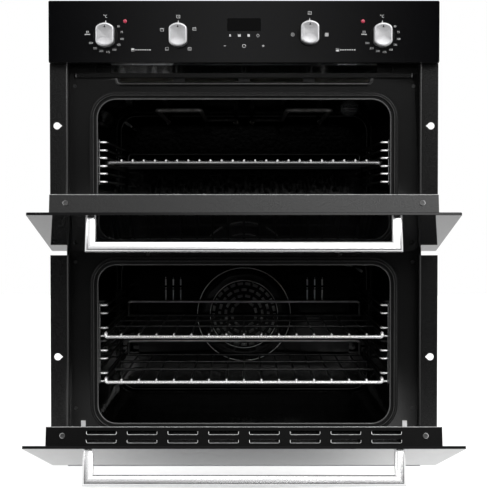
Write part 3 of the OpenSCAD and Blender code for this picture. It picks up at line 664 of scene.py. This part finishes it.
def add_knob(control):
    node = control + "_knob"
    low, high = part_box(node)
    centre = (low + high) / 2
    radius, flat = (high.z - low.z) / 2, (high.x - low.x) / 2

    def ring(y, inset=0.0, share=1.0):
        loop = []
        for angle in turns(KNOB_POINTS):
            r = (grip_radius(angle, radius, flat) - inset) * share
            loop.append((centre.x + r * math.cos(angle), y, centre.z + r * math.sin(angle)))
        return loop

    face = low.y + KNOB_EDGE
    rings = [ring(high.y, KNOB_FOOT), ring(high.y - KNOB_FOOT), ring(face, KNOB_DRAFT)]
    for turn in EDGE_TURNS:
        a = math.radians(turn)
        rings.append(ring(face - KNOB_EDGE * math.sin(a), KNOB_DRAFT + KNOB_EDGE * (1 - math.cos(a))))
    rim = KNOB_DRAFT + KNOB_EDGE
    for share in DISH_SHARES:
        rings.append(ring(low.y + KNOB_DISH * (1 - share ** 2), rim, share))
    bm = bmesh.new()
    loft(bm, rings)
    piece = new_object(control + ".grip", bm)
    smooth_by_angle(piece, 50)
    body = nodes[node]["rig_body"]
    finished(piece, body, "knob_silver", "knob_silver", node)

    bm = bmesh.new()
    tip, foot = centre.z + radius - POINTER_TIP, centre.z + radius - POINTER_FOOT
    outline = ((centre.x, tip), (centre.x - POINTER_HALF, foot), (centre.x + POINTER_HALF, foot))
    loft(bm, [[(x, low.y + depth, z) for x, z in outline] for depth in POINTER_DEPTHS])
    finished(new_object(control + ".pointer", bm), body, "bezel_plastic", "bezel_plastic")


# ---------------------------------------------------------------- printed marks

INK_FRONT = 0.12 * MM     # how far the print stands in front of the glass
INK_BACK = 0.02 * MM      # and how far it reaches into it
LINE = 0.5 * MM           # width of a printed line
FINE = 0.6                # a fine line's share of it
SIGN = 5.4 * MM           # width of a selector's sign
SIGN_SHAPE = 0.86         # its height to its width
SIGN_MARGIN = 1.0 * MM    # clear of its frame
SIGN_BAR_REACH = 0.8      # how near to its top and foot a bar stands
SIGN_ROWS, SIGN_ROW_GAP = 4, 0.35 * MM
DIAL_NUMBERS = range(50, 251, 25)
DIAL_R = 23.9 * MM        # radius of the ring of numbers round a thermostat
DIAL_SWAY = 1.4 * MM      # how far single numbers stand outside of it
DIAL_START, DIAL_STEP = 54, 23.7          # degrees clockwise from the top
DIGIT_H = 3.0 * MM
FONT_RATIO = 1.38         # a font's size to the height of its digits
TICK_R, TICK_TIP_R, TICK_HALF = 19.8 * MM, 23.8 * MM, 1.1 * MM
DEGREE_AT = (0, 29.4)     # places round a knob: degrees clockwise, millimetres from its middle
GRILL_AT = (278, 28)
SELECTOR_SIGNS = {
    "upper_selector": ((0, 29, "lamp"), (67, 26.4, "grid"), (139, 26.4, "both"), (221, 26.4, "foot"),
                       (290, 26.4, "top")),
    "lower_selector": ((0, 31, "lamp"), (94, 26, "full"), (266, 26, "ring")),
}
# Bars that signs are drawn with: place sideways and up, width and height in millimetres
DEGREE_BARS = ((-0.2, 0, 0.6, 3.4), (1.3, 1.85, 2.4, 0.5), (1.3, -1.85, 2.4, 0.5))
BELL_BARS = ((0, -1.2, 3.0, 0.8),)
POT_BARS = ((0, -0.6, 4.2, 2.4), (0, 1.4, 5.4, 0.6))
CLOCK_BARS = ((0, 0, 3.6, 3.8),)
MINUS_BARS = ((0, 0, 3.6, 0.7),)
PLUS_BARS = ((0, 0, 3.6, 0.7), (0, 1.1, 0.7, 1.5), (0, -1.1, 0.7, 1.5))
GRILL_DOTS = tuple((i * 1.7, -1.9, 1.3, 1.5) for i in (-2, -1, 0, 1, 2))
# Rings that signs are drawn with: place sideways and up, radius, line in millimetres, number of points
DEGREE_RING = (-2.4, 1.7, 0.9, 0.4, 14)
DIAMOND_RING = (0, 0, 2.6, 0.6, 4)
KEY_RING = (0, 0, 2.6, 0.6, 28)
GRILL_FRAME_UP, GRILL_FRAME_W, GRILL_FRAME_H = 1.6 * MM, 3.8 * MM, 3.2 * MM
BELL_UP, BELL_R, BELL_POINTS = 0.6 * MM, 1.3 * MM, 14
OVEN_SIGN = 4.6 * MM      # the small double oven beside each pair of knobs
OVEN_SIGN_X = 155.8 * MM
OVEN_SIGN_DROP = 27.7 * MM                # below the middle of the panel
OVEN_SIGN_GAP, OVEN_SIGN_LINE = 0.2 * MM, 0.35 * MM
DASHES, DASHES_W, DASH_H, DASH_GAP = 7, 27 * MM, 1.5 * MM, 1.5 * MM
DASHES_START = 1.4        # of their steps, to clear the sign
TIMER_STEP = 14.1 * MM    # from one timer sign to the next
TIMER_SIGNS_DROP = 11.6 * MM              # below the middle of the timer
TIMER_KEYS_DROP = 15.8 * MM               # the keys below the signs
TIMER_KEY_X = 2 * TIMER_STEP + 1.0 * MM   # the outer keys from the middle


def plate(bm, outline, hole=()):
    """A thin printed patch: an outline of (x, z) points, or the band between it and a hole"""
    def pair(points):
        faces = (FASCIA_Y - INK_FRONT, FASCIA_Y + INK_BACK)
        return [[bm.verts.new((x, y, z)) for x, z in points] for y in faces]

    front, back = pair(outline)
    if not hole:
        bm.faces.new(front)
        bm.faces.new(list(reversed(back)))
    inner, inner_back = pair(hole)
    count = len(outline)
    for i in range(count):
        j = (i + 1) % count
        bm.faces.new((front[i], back[i], back[j], front[j]))
        if hole:
            bm.faces.new((front[i], front[j], inner[j], inner[i]))
            bm.faces.new((back[i], inner_back[i], inner_back[j], back[j]))
            bm.faces.new((inner[i], inner[j], inner_back[j], inner_back[i]))


def rect(x, z, w, h):
    return [(x - w / 2, z - h / 2), (x + w / 2, z - h / 2), (x + w / 2, z + h / 2), (x - w / 2, z + h / 2)]


def disc(x, z, r, points=28):
    return [(x + r * math.cos(t), z + r * math.sin(t)) for t in turns(points)]


def bar(bm, x, z, w, h):
    plate(bm, rect(x, z, w, h))


def bars(bm, x, z, table):
    for dx, dz, w, h in table:
        bar(bm, x + dx * MM, z + dz * MM, w * MM, h * MM)


def frame_mark(bm, x, z, w, h, line=LINE):
    plate(bm, rect(x, z, w, h), rect(x, z, w - 2 * line, h - 2 * line))


def ring_mark(bm, x, z, r, line=LINE, points=28):
    plate(bm, disc(x, z, r, points), disc(x, z, r - line, points))


def ring_at(bm, x, z, ring):
    dx, dz, r, line, points = ring
    ring_mark(bm, x + dx * MM, z + dz * MM, r * MM, line * MM, points)


def sign(bm, kind, x, z):
    """Generic signs of what an oven can do, drawn round a square that stands for the cavity"""
    if kind == "ring":
        ring_mark(bm, x, z, SIGN / 2)
        ring_mark(bm, x, z, SIGN / 4, LINE, 4)
        return
    if kind == "full":
        pitch = SIGN / SIGN_ROWS
        for i in range(SIGN_ROWS):
            bar(bm, x, z + (i - (SIGN_ROWS - 1) / 2) * pitch, SIGN, pitch - SIGN_ROW_GAP)
        return
    frame_mark(bm, x, z, SIGN, SIGN * SIGN_SHAPE)
    inner = SIGN - 2 * LINE - SIGN_MARGIN
    reach = (inner - LINE) / 2 * SIGN_BAR_REACH
    if kind in ("top", "both"):
        bar(bm, x, z + reach, inner, LINE)
    if kind in ("foot", "both"):
        bar(bm, x, z - reach, inner, LINE)
    if kind == "lamp":
        ring_mark(bm, x, z, SIGN / 7, LINE * FINE, 12)
    if kind == "grid":
        for i in (-1, 0, 1):
            bar(bm, x + i * inner / 3, z, LINE * FINE, inner * 0.6)


def number(text, x, z, name):
    """Turns a generic number into a thin mesh that stands on the glass, centred on (x, z)"""
    curve = bpy.data.curves.new(name, "FONT")
    curve.body = text
    curve.size = DIGIT_H * FONT_RATIO
    curve.align_x, curve.align_y = "CENTER", "CENTER"
    curve.extrude = (INK_FRONT + INK_BACK) / 2
    curve.resolution_u = 3
    drawn = bpy.data.objects.new(name, curve)
    bpy.context.scene.collection.objects.link(drawn)
    bpy.context.view_layer.update()
    shape = drawn.evaluated_get(bpy.context.evaluated_depsgraph_get())
    mesh = bpy.data.meshes.new_from_object(shape)
    bpy.data.objects.remove(drawn)
    stand = Matrix.Rotation(math.radians(90), 4, "X")
    mesh.transform(Matrix.Translation((x, FASCIA_Y - (INK_FRONT - INK_BACK) / 2, z)) @ stand)
    return mesh


def around(centre, clock, radius):
    """(x, z) of a place on a dial; clock is in degrees clockwise from the top"""
    a = math.radians(clock)
    return centre.x + radius * math.sin(a), centre.z + radius * math.cos(a)


def printed(name, draw, meshes=()):
    bm = bmesh.new()
    draw(bm)
    bmesh.ops.recalc_face_normals(bm, faces=bm.faces)
    for mesh in meshes:
        bm.from_mesh(mesh)
        bpy.data.meshes.remove(mesh)
    finished(new_object(name, bm), nodes["control_panel"]["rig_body"], "printed_marks", "printed_marks")


def tick(bm, centre):
    """Triangle above a knob that its pointer is set against"""
    low, high = around(centre, 0, TICK_R), around(centre, 0, TICK_TIP_R)
    plate(bm, [(low[0] - TICK_HALF, low[1]), (low[0] + TICK_HALF, low[1]), high])


def thermostat_marks(control):
    centre = middle(control + "_spindle")
    meshes = []
    for i, degrees in enumerate(DIAL_NUMBERS):
        x, z = around(centre, DIAL_START + i * DIAL_STEP, DIAL_R + DIAL_SWAY * abs(math.sin(i)))
        meshes.append(number(str(degrees), x, z, f"{control}.{i}"))

    def draw(bm):
        tick(bm, centre)
        # Degree sign: a small ring with an open hook beside it
        x, z = around(centre, DEGREE_AT[0], DEGREE_AT[1] * MM)
        ring_at(bm, x, z, DEGREE_RING)
        bars(bm, x, z, DEGREE_BARS)
        # Grill sign: a small cavity over a dotted bar
        x, z = around(centre, GRILL_AT[0], GRILL_AT[1] * MM)
        frame_mark(bm, x, z + GRILL_FRAME_UP, GRILL_FRAME_W, GRILL_FRAME_H)
        bars(bm, x, z, GRILL_DOTS)
    printed(control + ".marks", draw, meshes)


def selector_marks(control):
    centre = middle(control + "_spindle")

    def draw(bm):
        tick(bm, centre)
        for clock, radius, kind in SELECTOR_SIGNS[control]:
            sign(bm, kind, *around(centre, clock, radius * MM))
    printed(control + ".marks", draw)


def oven_marks():
    """Beside each pair of knobs: a double oven with the one that they work filled in, and dashes"""
    dash_step = DASHES_W / (DASHES + 0.6)
    half_h = OVEN_SIGN / 2 - OVEN_SIGN_GAP

    def draw(bm):
        z = middle("control_panel").z - OVEN_SIGN_DROP
        for side, filled in ((-1, 1), (1, 0)):
            x = side * OVEN_SIGN_X - DASHES_W / 2
            for k in (0, 1):
                low = z + (k - 0.5) * OVEN_SIGN / 2
                if k == filled:
                    bar(bm, x, low, OVEN_SIGN, half_h)
                else:
                    frame_mark(bm, x, low, OVEN_SIGN, half_h, OVEN_SIGN_LINE)
            for k in range(DASHES):
                bar(bm, x + (k + DASHES_START) * dash_step, z, dash_step - DASH_GAP, DASH_H)
    printed("oven.marks", draw)


def timer_marks():
    """Four signs under the display, and a minus, a ring and a plus for the touch keys below them"""
    z_signs = middle("timer_module").z - TIMER_SIGNS_DROP
    z_keys = z_signs - TIMER_KEYS_DROP
    xs = [(i - 1.5) * TIMER_STEP for i in range(4)]

    def draw(bm):
        bars(bm, xs[0], z_signs, BELL_BARS)
        plate(bm, disc(xs[0], z_signs + BELL_UP, BELL_R, BELL_POINTS))
        bars(bm, xs[1], z_signs, POT_BARS)
        bars(bm, xs[2], z_signs, CLOCK_BARS)
        ring_at(bm, xs[3], z_signs, DIAMOND_RING)
        bars(bm, -TIMER_KEY_X, z_keys, MINUS_BARS)
        ring_at(bm, 0, z_keys, KEY_RING)
        bars(bm, TIMER_KEY_X, z_keys, PLUS_BARS)
    printed("timer.marks", draw)


# ---------------------------------------------------------------- display window and red lenses

WINDOW_HALF_W = 25.4 * MM
WINDOW_CORNER = 0.9 * MM
TIMER_TO_WINDOW = 4.7 * MM    # the window's middle above the timer's
WINDOW_PROFILE = ((0.2, 0.5), (0.6, 0.1), (3.8, 0.1))    # depth behind the fascia and inset, mm
PANEL_TO_LENS = 15.75 * MM    # the red lenses above the middle of the panel
LENS_R = 2.95 * MM
LENS_POINTS = 28
LENS_PROFILE = ((1.0, 4.0), (1.0, 0.0), (0.9, -0.35), (0.65, -0.55), (0.3, -0.62))   # share of R, depth mm


def add_lenses():
    """The window and the two lenses are one CAD node; here each is its own piece"""
    body = nodes["panel_lenses"]["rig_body"]
    low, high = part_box("panel_lenses")
    z = middle("timer_module").z + TIMER_TO_WINDOW
    half_h = z - low.z        # the window reaches lowest of the three
    bm = bmesh.new()
    loft(bm, [rounded_loop(0, z, 2 * (WINDOW_HALF_W - inset * MM), 2 * (half_h - inset * MM), WINDOW_CORNER,
                           FASCIA_Y + depth * MM) for depth, inset in WINDOW_PROFILE])
    finished(new_object("display_window", bm), body, "black_glass", "window_glass", "panel_lenses")
    lens_z = middle("control_panel").z + PANEL_TO_LENS
    for side, name in ((-1, "lens.upper_oven"), (1, "lens.lower_oven")):
        x = side * (high.x - LENS_R)
        bm = bmesh.new()
        loft(bm, [ring_loop(x, lens_z, share * LENS_R, FASCIA_Y + depth * MM, LENS_POINTS)
                  for share, depth in LENS_PROFILE])
        lens = new_object(name, bm)
        smooth_by_angle(lens, 60)
        finished(lens, body, "red_lens", "red_lens", "panel_lenses")


# ---------------------------------------------------------------- cavities, air outlet and fan cover

SHEET = 1.0 * MM              # thickness of a cavity's wall
MOUTH_CORNER = 29.5 * MM
MOUTH_STEPS = 14              # points on a quarter of such a corner
LIP_R = 1.3 * MM              # the enamelled lip round a cavity's mouth, and how far it stands out
LIP_STAND = 0.7 * MM
BACK_BEAD_R = 4.0 * MM        # the pressed edge round a cavity's back wall
BACK_BEAD_IN = 0.6            # share of that radius from the side walls to its middle
SEAL_BEAD_R = 0.5 * MM
SEAL_BEADS = ((5 * MM, 0.1 * MM), (8.4 * MM, 2.4 * MM))   # outwards of the mouth, behind the seal's front

FLANGE_W = 68 * MM            # the sheets that close the air outlet at its ends
FLANGE_SIDE_GAP = 1 * MM
FLANGE_CORNER = 1 * MM
FLANGE_BELOW, FLANGE_ABOVE = 9 * MM, 5 * MM               # reach past the panel's top and the bracket's foot
FLANGE_DEPTHS = (1.5 * MM, 2.3 * MM)
WEB_XS = (-103 * MM, 0.0, 103 * MM)
WEB_TOP_HALF, WEB_FOOT_HALF = 3.4 * MM, 1.6 * MM          # a web's two edges draw together downwards
WEB_DEPTH = 1 * MM
WEB_R = 0.45 * MM

COVER_BEAD = 5.2 * MM         # the foremost part of the fan cover to its face
COVER_RINGS = ((61 * MM, 0, 0.8 * MM), (84 * MM, -1.7 * MM, 0.9 * MM))   # radius, depth, bead
BANK_X, BANK_PITCH = 128 * MM, 13.5 * MM
BANK_ROWS = ((25.5 * MM, 51.5 * MM), (55.5 * MM, 70.5 * MM))   # above the middle of the cover
FIN_R, FIN_DEPTH = 1.5 * MM, 1.4 * MM
RING_POINTS = 72


def add_cavity_edges(oven):
    """Lip of a cavity's mouth, the beads of the seal round it, and the edge of its back wall. Lip and beads
    are painted far paler than the cavity's enamel and the seal, as painted highlights.
    """
    node = "cavity_" + oven
    low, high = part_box(node)
    z, size = (low.z + high.z) / 2, high - low
    body = nodes[node]["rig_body"]

    def edge(name, grow, corner, y, radius, slot, finish):
        loop = rounded_loop(0, z, size.x + grow, size.z + grow, corner, y, MOUTH_STEPS)
        finished(swept_loop(f"{oven}_{name}", loop, radius), body, slot, finish)

    edge("mouth_lip", -SHEET, MOUTH_CORNER, low.y - LIP_STAND, LIP_R, "cavity_enamel", "lip_enamel_highlight")
    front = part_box("door_gaskets")[0].y
    for i, (outwards, depth) in enumerate(SEAL_BEADS):
        edge(f"seal_bead.{i + 1}", 2 * outwards, MOUTH_CORNER + outwards, front + depth, SEAL_BEAD_R,
             "gasket_rubber", "seal_bead")
    inset = 2 * (SHEET + BACK_BEAD_R * BACK_BEAD_IN)
    edge("back_edge", -inset, MOUTH_CORNER, high.y - SHEET, BACK_BEAD_R, "cavity_enamel", "cavity_enamel")


def add_outlet_edges():
    """Flanges that close the air outlet below the control panel at its ends, and the edges of its webs,
    painted grey on the black trim as a painted highlight
    """
    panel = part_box("front_panel_upper")[1]
    bottom, top = panel.z - FLANGE_BELOW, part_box("panel_bracket")[0].z + FLANGE_ABOVE
    body = nodes["front_panel_upper"]["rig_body"]
    for side, name in ((-1, "left"), (1, "right")):
        bm = bmesh.new()
        x = side * (panel.x - FLANGE_W / 2 - FLANGE_SIDE_GAP)
        loft(bm, [rounded_loop(x, (bottom + top) / 2, FLANGE_W, top - bottom, FLANGE_CORNER, panel.y + depth)
                  for depth in FLANGE_DEPTHS])
        finished(new_object("outlet_flange_" + name, bm), body, "black_trim", "black_trim")
    bm = bmesh.new()
    y = panel.y + WEB_DEPTH
    for x in WEB_XS:
        for side in (-1, 1):
            rod(bm, (x + side * WEB_TOP_HALF, y, top), (x + side * WEB_FOOT_HALF, y, panel.z), WEB_R)
    piece = new_object("outlet_webs", bm)
    smooth_by_angle(piece, 60)
    finished(piece, body, "black_trim", "web_edge_highlight")


def add_fan_cover_edges():
    """Raised edges round the fan's grille, and the fins in the two banks of slots; both painted pale on the
    dark cover as painted highlights
    """
    fan = middle("fan_impeller")
    body = nodes["fan_cover"]["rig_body"]
    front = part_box("fan_cover")[0].y + COVER_BEAD
    for i, (radius, depth, bead) in enumerate(COVER_RINGS):
        loop = ring_loop(fan.x, fan.z, radius, front + depth, RING_POINTS)
        finished(swept_loop(f"fan_cover.ring_{i + 1}", loop, bead, 8), body, "fan_cover_enamel", "fin_edge_highlight")
    bm = bmesh.new()
    z = middle("fan_cover").z
    for side in (-1, 1):
        for i in (-1, 0, 1):
            x = side * BANK_X + i * BANK_PITCH
            for low, high in BANK_ROWS:
                rod(bm, (x, front + FIN_DEPTH, z + low), (x, front + FIN_DEPTH, z + high), FIN_R)
    piece = new_object("fan_cover.fins", bm)
    smooth_by_angle(piece, 60)
    finished(piece, body, "fan_cover_enamel", "fin_edge_highlight")


# ---------------------------------------------------------------- shelves and racks

SHELF_FRONT = 9 * MM      # depth of a shelf's front bar with the ends of its slats
RACK_FRONT = 8 * MM       # depth of a rack's front post and the bends of its wires
SHELF_STOP = 5 * MM       # thickness of the raised bar at a shelf's back, with some to spare
UPPER_RIM = 5.7 * MM      # thickness of the upper shelf's rim, below its slats
RACK_POST = 3.2 * MM      # thickness of a rack's front post, with some to spare
# Painted light: paler copies of the chromed wire on the front and stop bars are painted highlights, and
# darker copies on the rear wires, rim bar and posts are painted shade
WIRE_FINISH = {".front": "bright_wire", ".rear": "rear_wire_shade", ".rear_legs": "rear_wire_shade", ".stop": "stop_wire_highlight",
               ".bar": "bar_and_post_shade", ".post_left": "bar_and_post_shade", ".post_right": "bar_and_post_shade"}


def split_wires(node, front_depth, rim=None, post=None, stop=None):
    """Wires painted pale at the front and dark behind, a painted highlight and painted shade, all cut from
    the CAD mesh.

    rim sets off a bar that low, post a post that wide at each side, and stop a bar that thick at the back.
    """
    source = nodes[node]
    low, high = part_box(node)
    front = (0, low.y + front_depth, 0)
    parts = {".front": [(front, (0, 1, 0))], ".rear": [(front, (0, -1, 0))]}
    if rim is not None:
        edge = (0, 0, low.z + rim)
        parts[".front"].append((edge, (0, 0, -1)))
        parts[".bar"] = [(front, (0, 1, 0)), (edge, (0, 0, 1))]
    if post is not None:
        for side, name in ((-1, ".post_left"), (1, ".post_right")):
            edge = (side * (high.x - post), 0, 0)
            parts[".front"].append((edge, (side, 0, 0)))
            parts[name] = [(front, (0, 1, 0)), (edge, (-side, 0, 0))]
    if stop is not None:
        end, level = (0, high.y - stop, 0), (0, 0, high.z - stop)
        parts[".rear"].append((end, (0, 1, 0)))
        parts[".stop"] = [(end, (0, -1, 0)), (level, (0, 0, -1))]
        parts[".rear_legs"] = [(end, (0, -1, 0)), (level, (0, 0, 1))]
    for suffix, cuts in parts.items():
        bm = bmesh.new()
        bm.from_mesh(source.data)
        for point, direction in cuts:
            keep_side(bm, point, direction)
        piece = new_object(node + suffix, bm)
        smooth_by_angle(piece, 40)
        finished(piece, source["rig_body"], "chromed_wire", WIRE_FINISH[suffix], node)


# ---------------------------------------------------------------- door details

SLOTS = 8                 # in each of the two rows of the lower door's end cap
SLOT_W, SLOT_H = 40.2 * MM, 5.4 * MM
SLOT_PITCH = 54.8 * MM
SLOT_YS = (-7 * MM, 4.3 * MM)
SLOT_CUT = 1.2 * MM       # how much of a slot's corner its lip cuts off
HIGHLIGHT_LINE_R = 0.4 * MM         # thickness of the painted highlight lines on the end caps
CAP_BACK = 11.9 * MM      # the end cap's rear face behind the hinge axis
CAP_EDGE_GAP = 1 * MM
HANDLE_W = 15 * MM        # across the flat of the handle's rod
HANDLE_EDGE = 4.4 * MM    # rounding of its edges
HANDLE_STEPS = 5          # points on a quarter of such a rounding
HANDLE_INSET = 1.5 * MM   # how far it is brought in from the CAD handle's ends
SCREW_R = 3.4 * MM
SCREW_POINTS = 20


def door_space(oven):
    """Turns a place on the shut door, measured from its hinge axis, into its place at rest"""
    pivot, open_angle = hinge_of(DOOR_BODY[oven])
    return Matrix.Translation(pivot) @ Matrix.Rotation(open_angle, 4, "X")


def shut_box(oven, part):
    """Lowest and highest corner of a door's part on the shut door, measured from its hinge axis"""
    back = door_space(oven).inverted()
    places = [back @ v.co for v in nodes[f"{oven}_door_{part}"].data.vertices]
    return [Vector([pick(p[i] for p in places) for i in range(3)]) for pick in (min, max)]


def finish_cap_piece(bm, oven, name):
    """A painted highlight line along an edge of a door's end cap, drawn on the shut door"""
    bmesh.ops.transform(bm, matrix=door_space(oven), verts=bm.verts)
    piece = new_object(f"{oven}_door.{name}", bm)
    smooth_by_angle(piece, 60)
    finished(piece, DOOR_BODY[oven], slot_of[oven + "_door_end_cap"], "edge_highlight")


def add_slot_lips():
    """Painted highlight lines along the slots' lower edges and ends"""
    top = shut_box("lower", "end_cap")[1].z
    w, half = SLOT_W / 2, SLOT_H / 2
    outline = ((-w, half - SLOT_CUT), (-w, SLOT_CUT - half), (SLOT_CUT - w, -half),
               (w - SLOT_CUT, -half), (w, SLOT_CUT - half), (w, half - SLOT_CUT))
    bm = bmesh.new()
    for i in range(SLOTS):
        x = (i - (SLOTS - 1) / 2) * SLOT_PITCH
        for y in SLOT_YS:
            tube_along(bm, [(x + dx, y + dy, top) for dx, dy in outline], HIGHLIGHT_LINE_R)
    finish_cap_piece(bm, "lower", "slot_lips")


def add_cap_edges(oven):
    """Painted highlight line along the rear edge of the end cap, where it meets the inner glass"""
    high = shut_box(oven, "end_cap")[1]
    half = high.x - CAP_EDGE_GAP
    bm = bmesh.new()
    tube_along(bm, [(-half, CAP_BACK, high.z), (half, CAP_BACK, high.z)], HIGHLIGHT_LINE_R)
    finish_cap_piece(bm, oven, "cap_edge")


def add_screw_rims(oven):
    """Painted highlight rings round the rims of the end cap's two screws"""
    high = shut_box(oven, "screws")[1]
    bm = bmesh.new()
    for side in (-1, 1):
        x = side * (high.x - SCREW_R)
        tube_along(bm, [(x + SCREW_R * math.cos(t), SCREW_R * math.sin(t), high.z - HIGHLIGHT_LINE_R)
                        for t in (*turns(SCREW_POINTS), 2 * math.pi)], HIGHLIGHT_LINE_R)
    finish_cap_piece(bm, oven, "screw_rims")


def add_handle(oven):
    """Posts and bar from one flat rod with rounded edges, mitred at its two corners"""
    node = oven + "_door_handle"
    low, high = shut_box(oven, "handle")
    z = (high.z + low.z) / 2
    x = high.x - HANDLE_INSET - HANDLE_W / 2
    front = low.y + HANDLE_W / 2
    thick = high.z - low.z
    section = [(a, b) for a, _, b in rounded_loop(0, 0, HANDLE_W, thick, HANDLE_EDGE, 0, HANDLE_STEPS)]
    bm = bmesh.new()
    bar_along(bm, [(-x, high.y, z), (-x, front, z), (x, front, z), (x, high.y, z)], section)
    bmesh.ops.transform(bm, matrix=door_space(oven), verts=bm.verts)
    piece = new_object(node + ".bar", bm)
    smooth_by_angle(piece, 40)
    finished(piece, DOOR_BODY[oven], slot_of[node], slot_of[node], node)


# ---------------------------------------------------------------- softened edges

SOFT_EDGES = (("control_panel", 0.5), ("knob_bezels", 0.5),
              ("side_trim_left", 0.25), ("side_trim_right", 0.25),
              ("front_panel_upper", 0.2), ("fan_cover", 0.35),
              ("upper_door_outer_glass", 0.6), ("upper_door_frame", 0.5), ("upper_door_end_cap", 0.6),
              ("upper_door_inner_glass", 0.4),
              ("lower_door_outer_glass", 0.6), ("lower_door_frame", 0.5), ("lower_door_end_cap", 0.6),
              ("lower_door_inner_glass", 0.4),
              ("upper_door_screws", 0.5), ("lower_door_screws", 0.5))   # millimetres
WELD = 2e-6                       # points nearer than this are one
FLAT_WITHIN = math.radians(0.5)   # faces that meet at less than this are one
BEVEL_FROM = math.radians(40)     # edges that meet at more than this are rounded
BEVEL_STEPS = 2


def softened(node, width):
    """The CAD node's own shape, with its sharp edges rounded off"""
    source = nodes[node]
    bm = bmesh.new()
    bm.from_mesh(source.data)
    bmesh.ops.remove_doubles(bm, verts=bm.verts, dist=WELD)
    bmesh.ops.dissolve_limit(bm, angle_limit=FLAT_WITHIN, verts=bm.verts, edges=bm.edges)
    piece = new_object(node + ".soft", bm)
    bevel = piece.modifiers.new("bevel", "BEVEL")
    bevel.width = width
    bevel.segments = BEVEL_STEPS
    bevel.limit_method = "ANGLE"
    bevel.angle_limit = BEVEL_FROM
    bevel.harden_normals = False
    smooth_by_angle(piece, 30)
    finished(piece, source["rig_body"], slot_of[node], finish_of(node), node)


# ---------------------------------------------------------------- build order

for name, node in nodes.items():
    node.data.materials.clear()
    node.data.materials.append(finishes[finish_of(name)])

for knob in ("upper_thermostat", "upper_selector", "lower_selector", "lower_thermostat"):
    add_knob(knob)
for thermostat in ("upper_thermostat", "lower_thermostat"):
    thermostat_marks(thermostat)
for selector in SELECTOR_SIGNS:
    selector_marks(selector)
oven_marks()
timer_marks()
add_slot_lips()
for oven in DOORS:
    add_cap_edges(oven)
    add_handle(oven)
    add_screw_rims(oven)
add_lenses()
add_outlet_edges()
add_fan_cover_edges()
for oven in DOORS:
    add_cavity_edges(oven)
split_wires("upper_shelf", SHELF_FRONT, rim=UPPER_RIM)
for shelf in ("middle_shelf", "lower_shelf"):
    split_wires(shelf, SHELF_FRONT, stop=SHELF_STOP)
for rack in ("side_racks_upper", "side_racks_lower"):
    split_wires(rack, RACK_FRONT, post=RACK_POST)
for name, width in SOFT_EDGES:
    softened(name, width * MM)

add_camera()
add_floor()
world_light()
for softbox in SOFTBOXES:
    add_softbox(*softbox)
bpy.context.scene.view_settings.view_transform = "Standard"
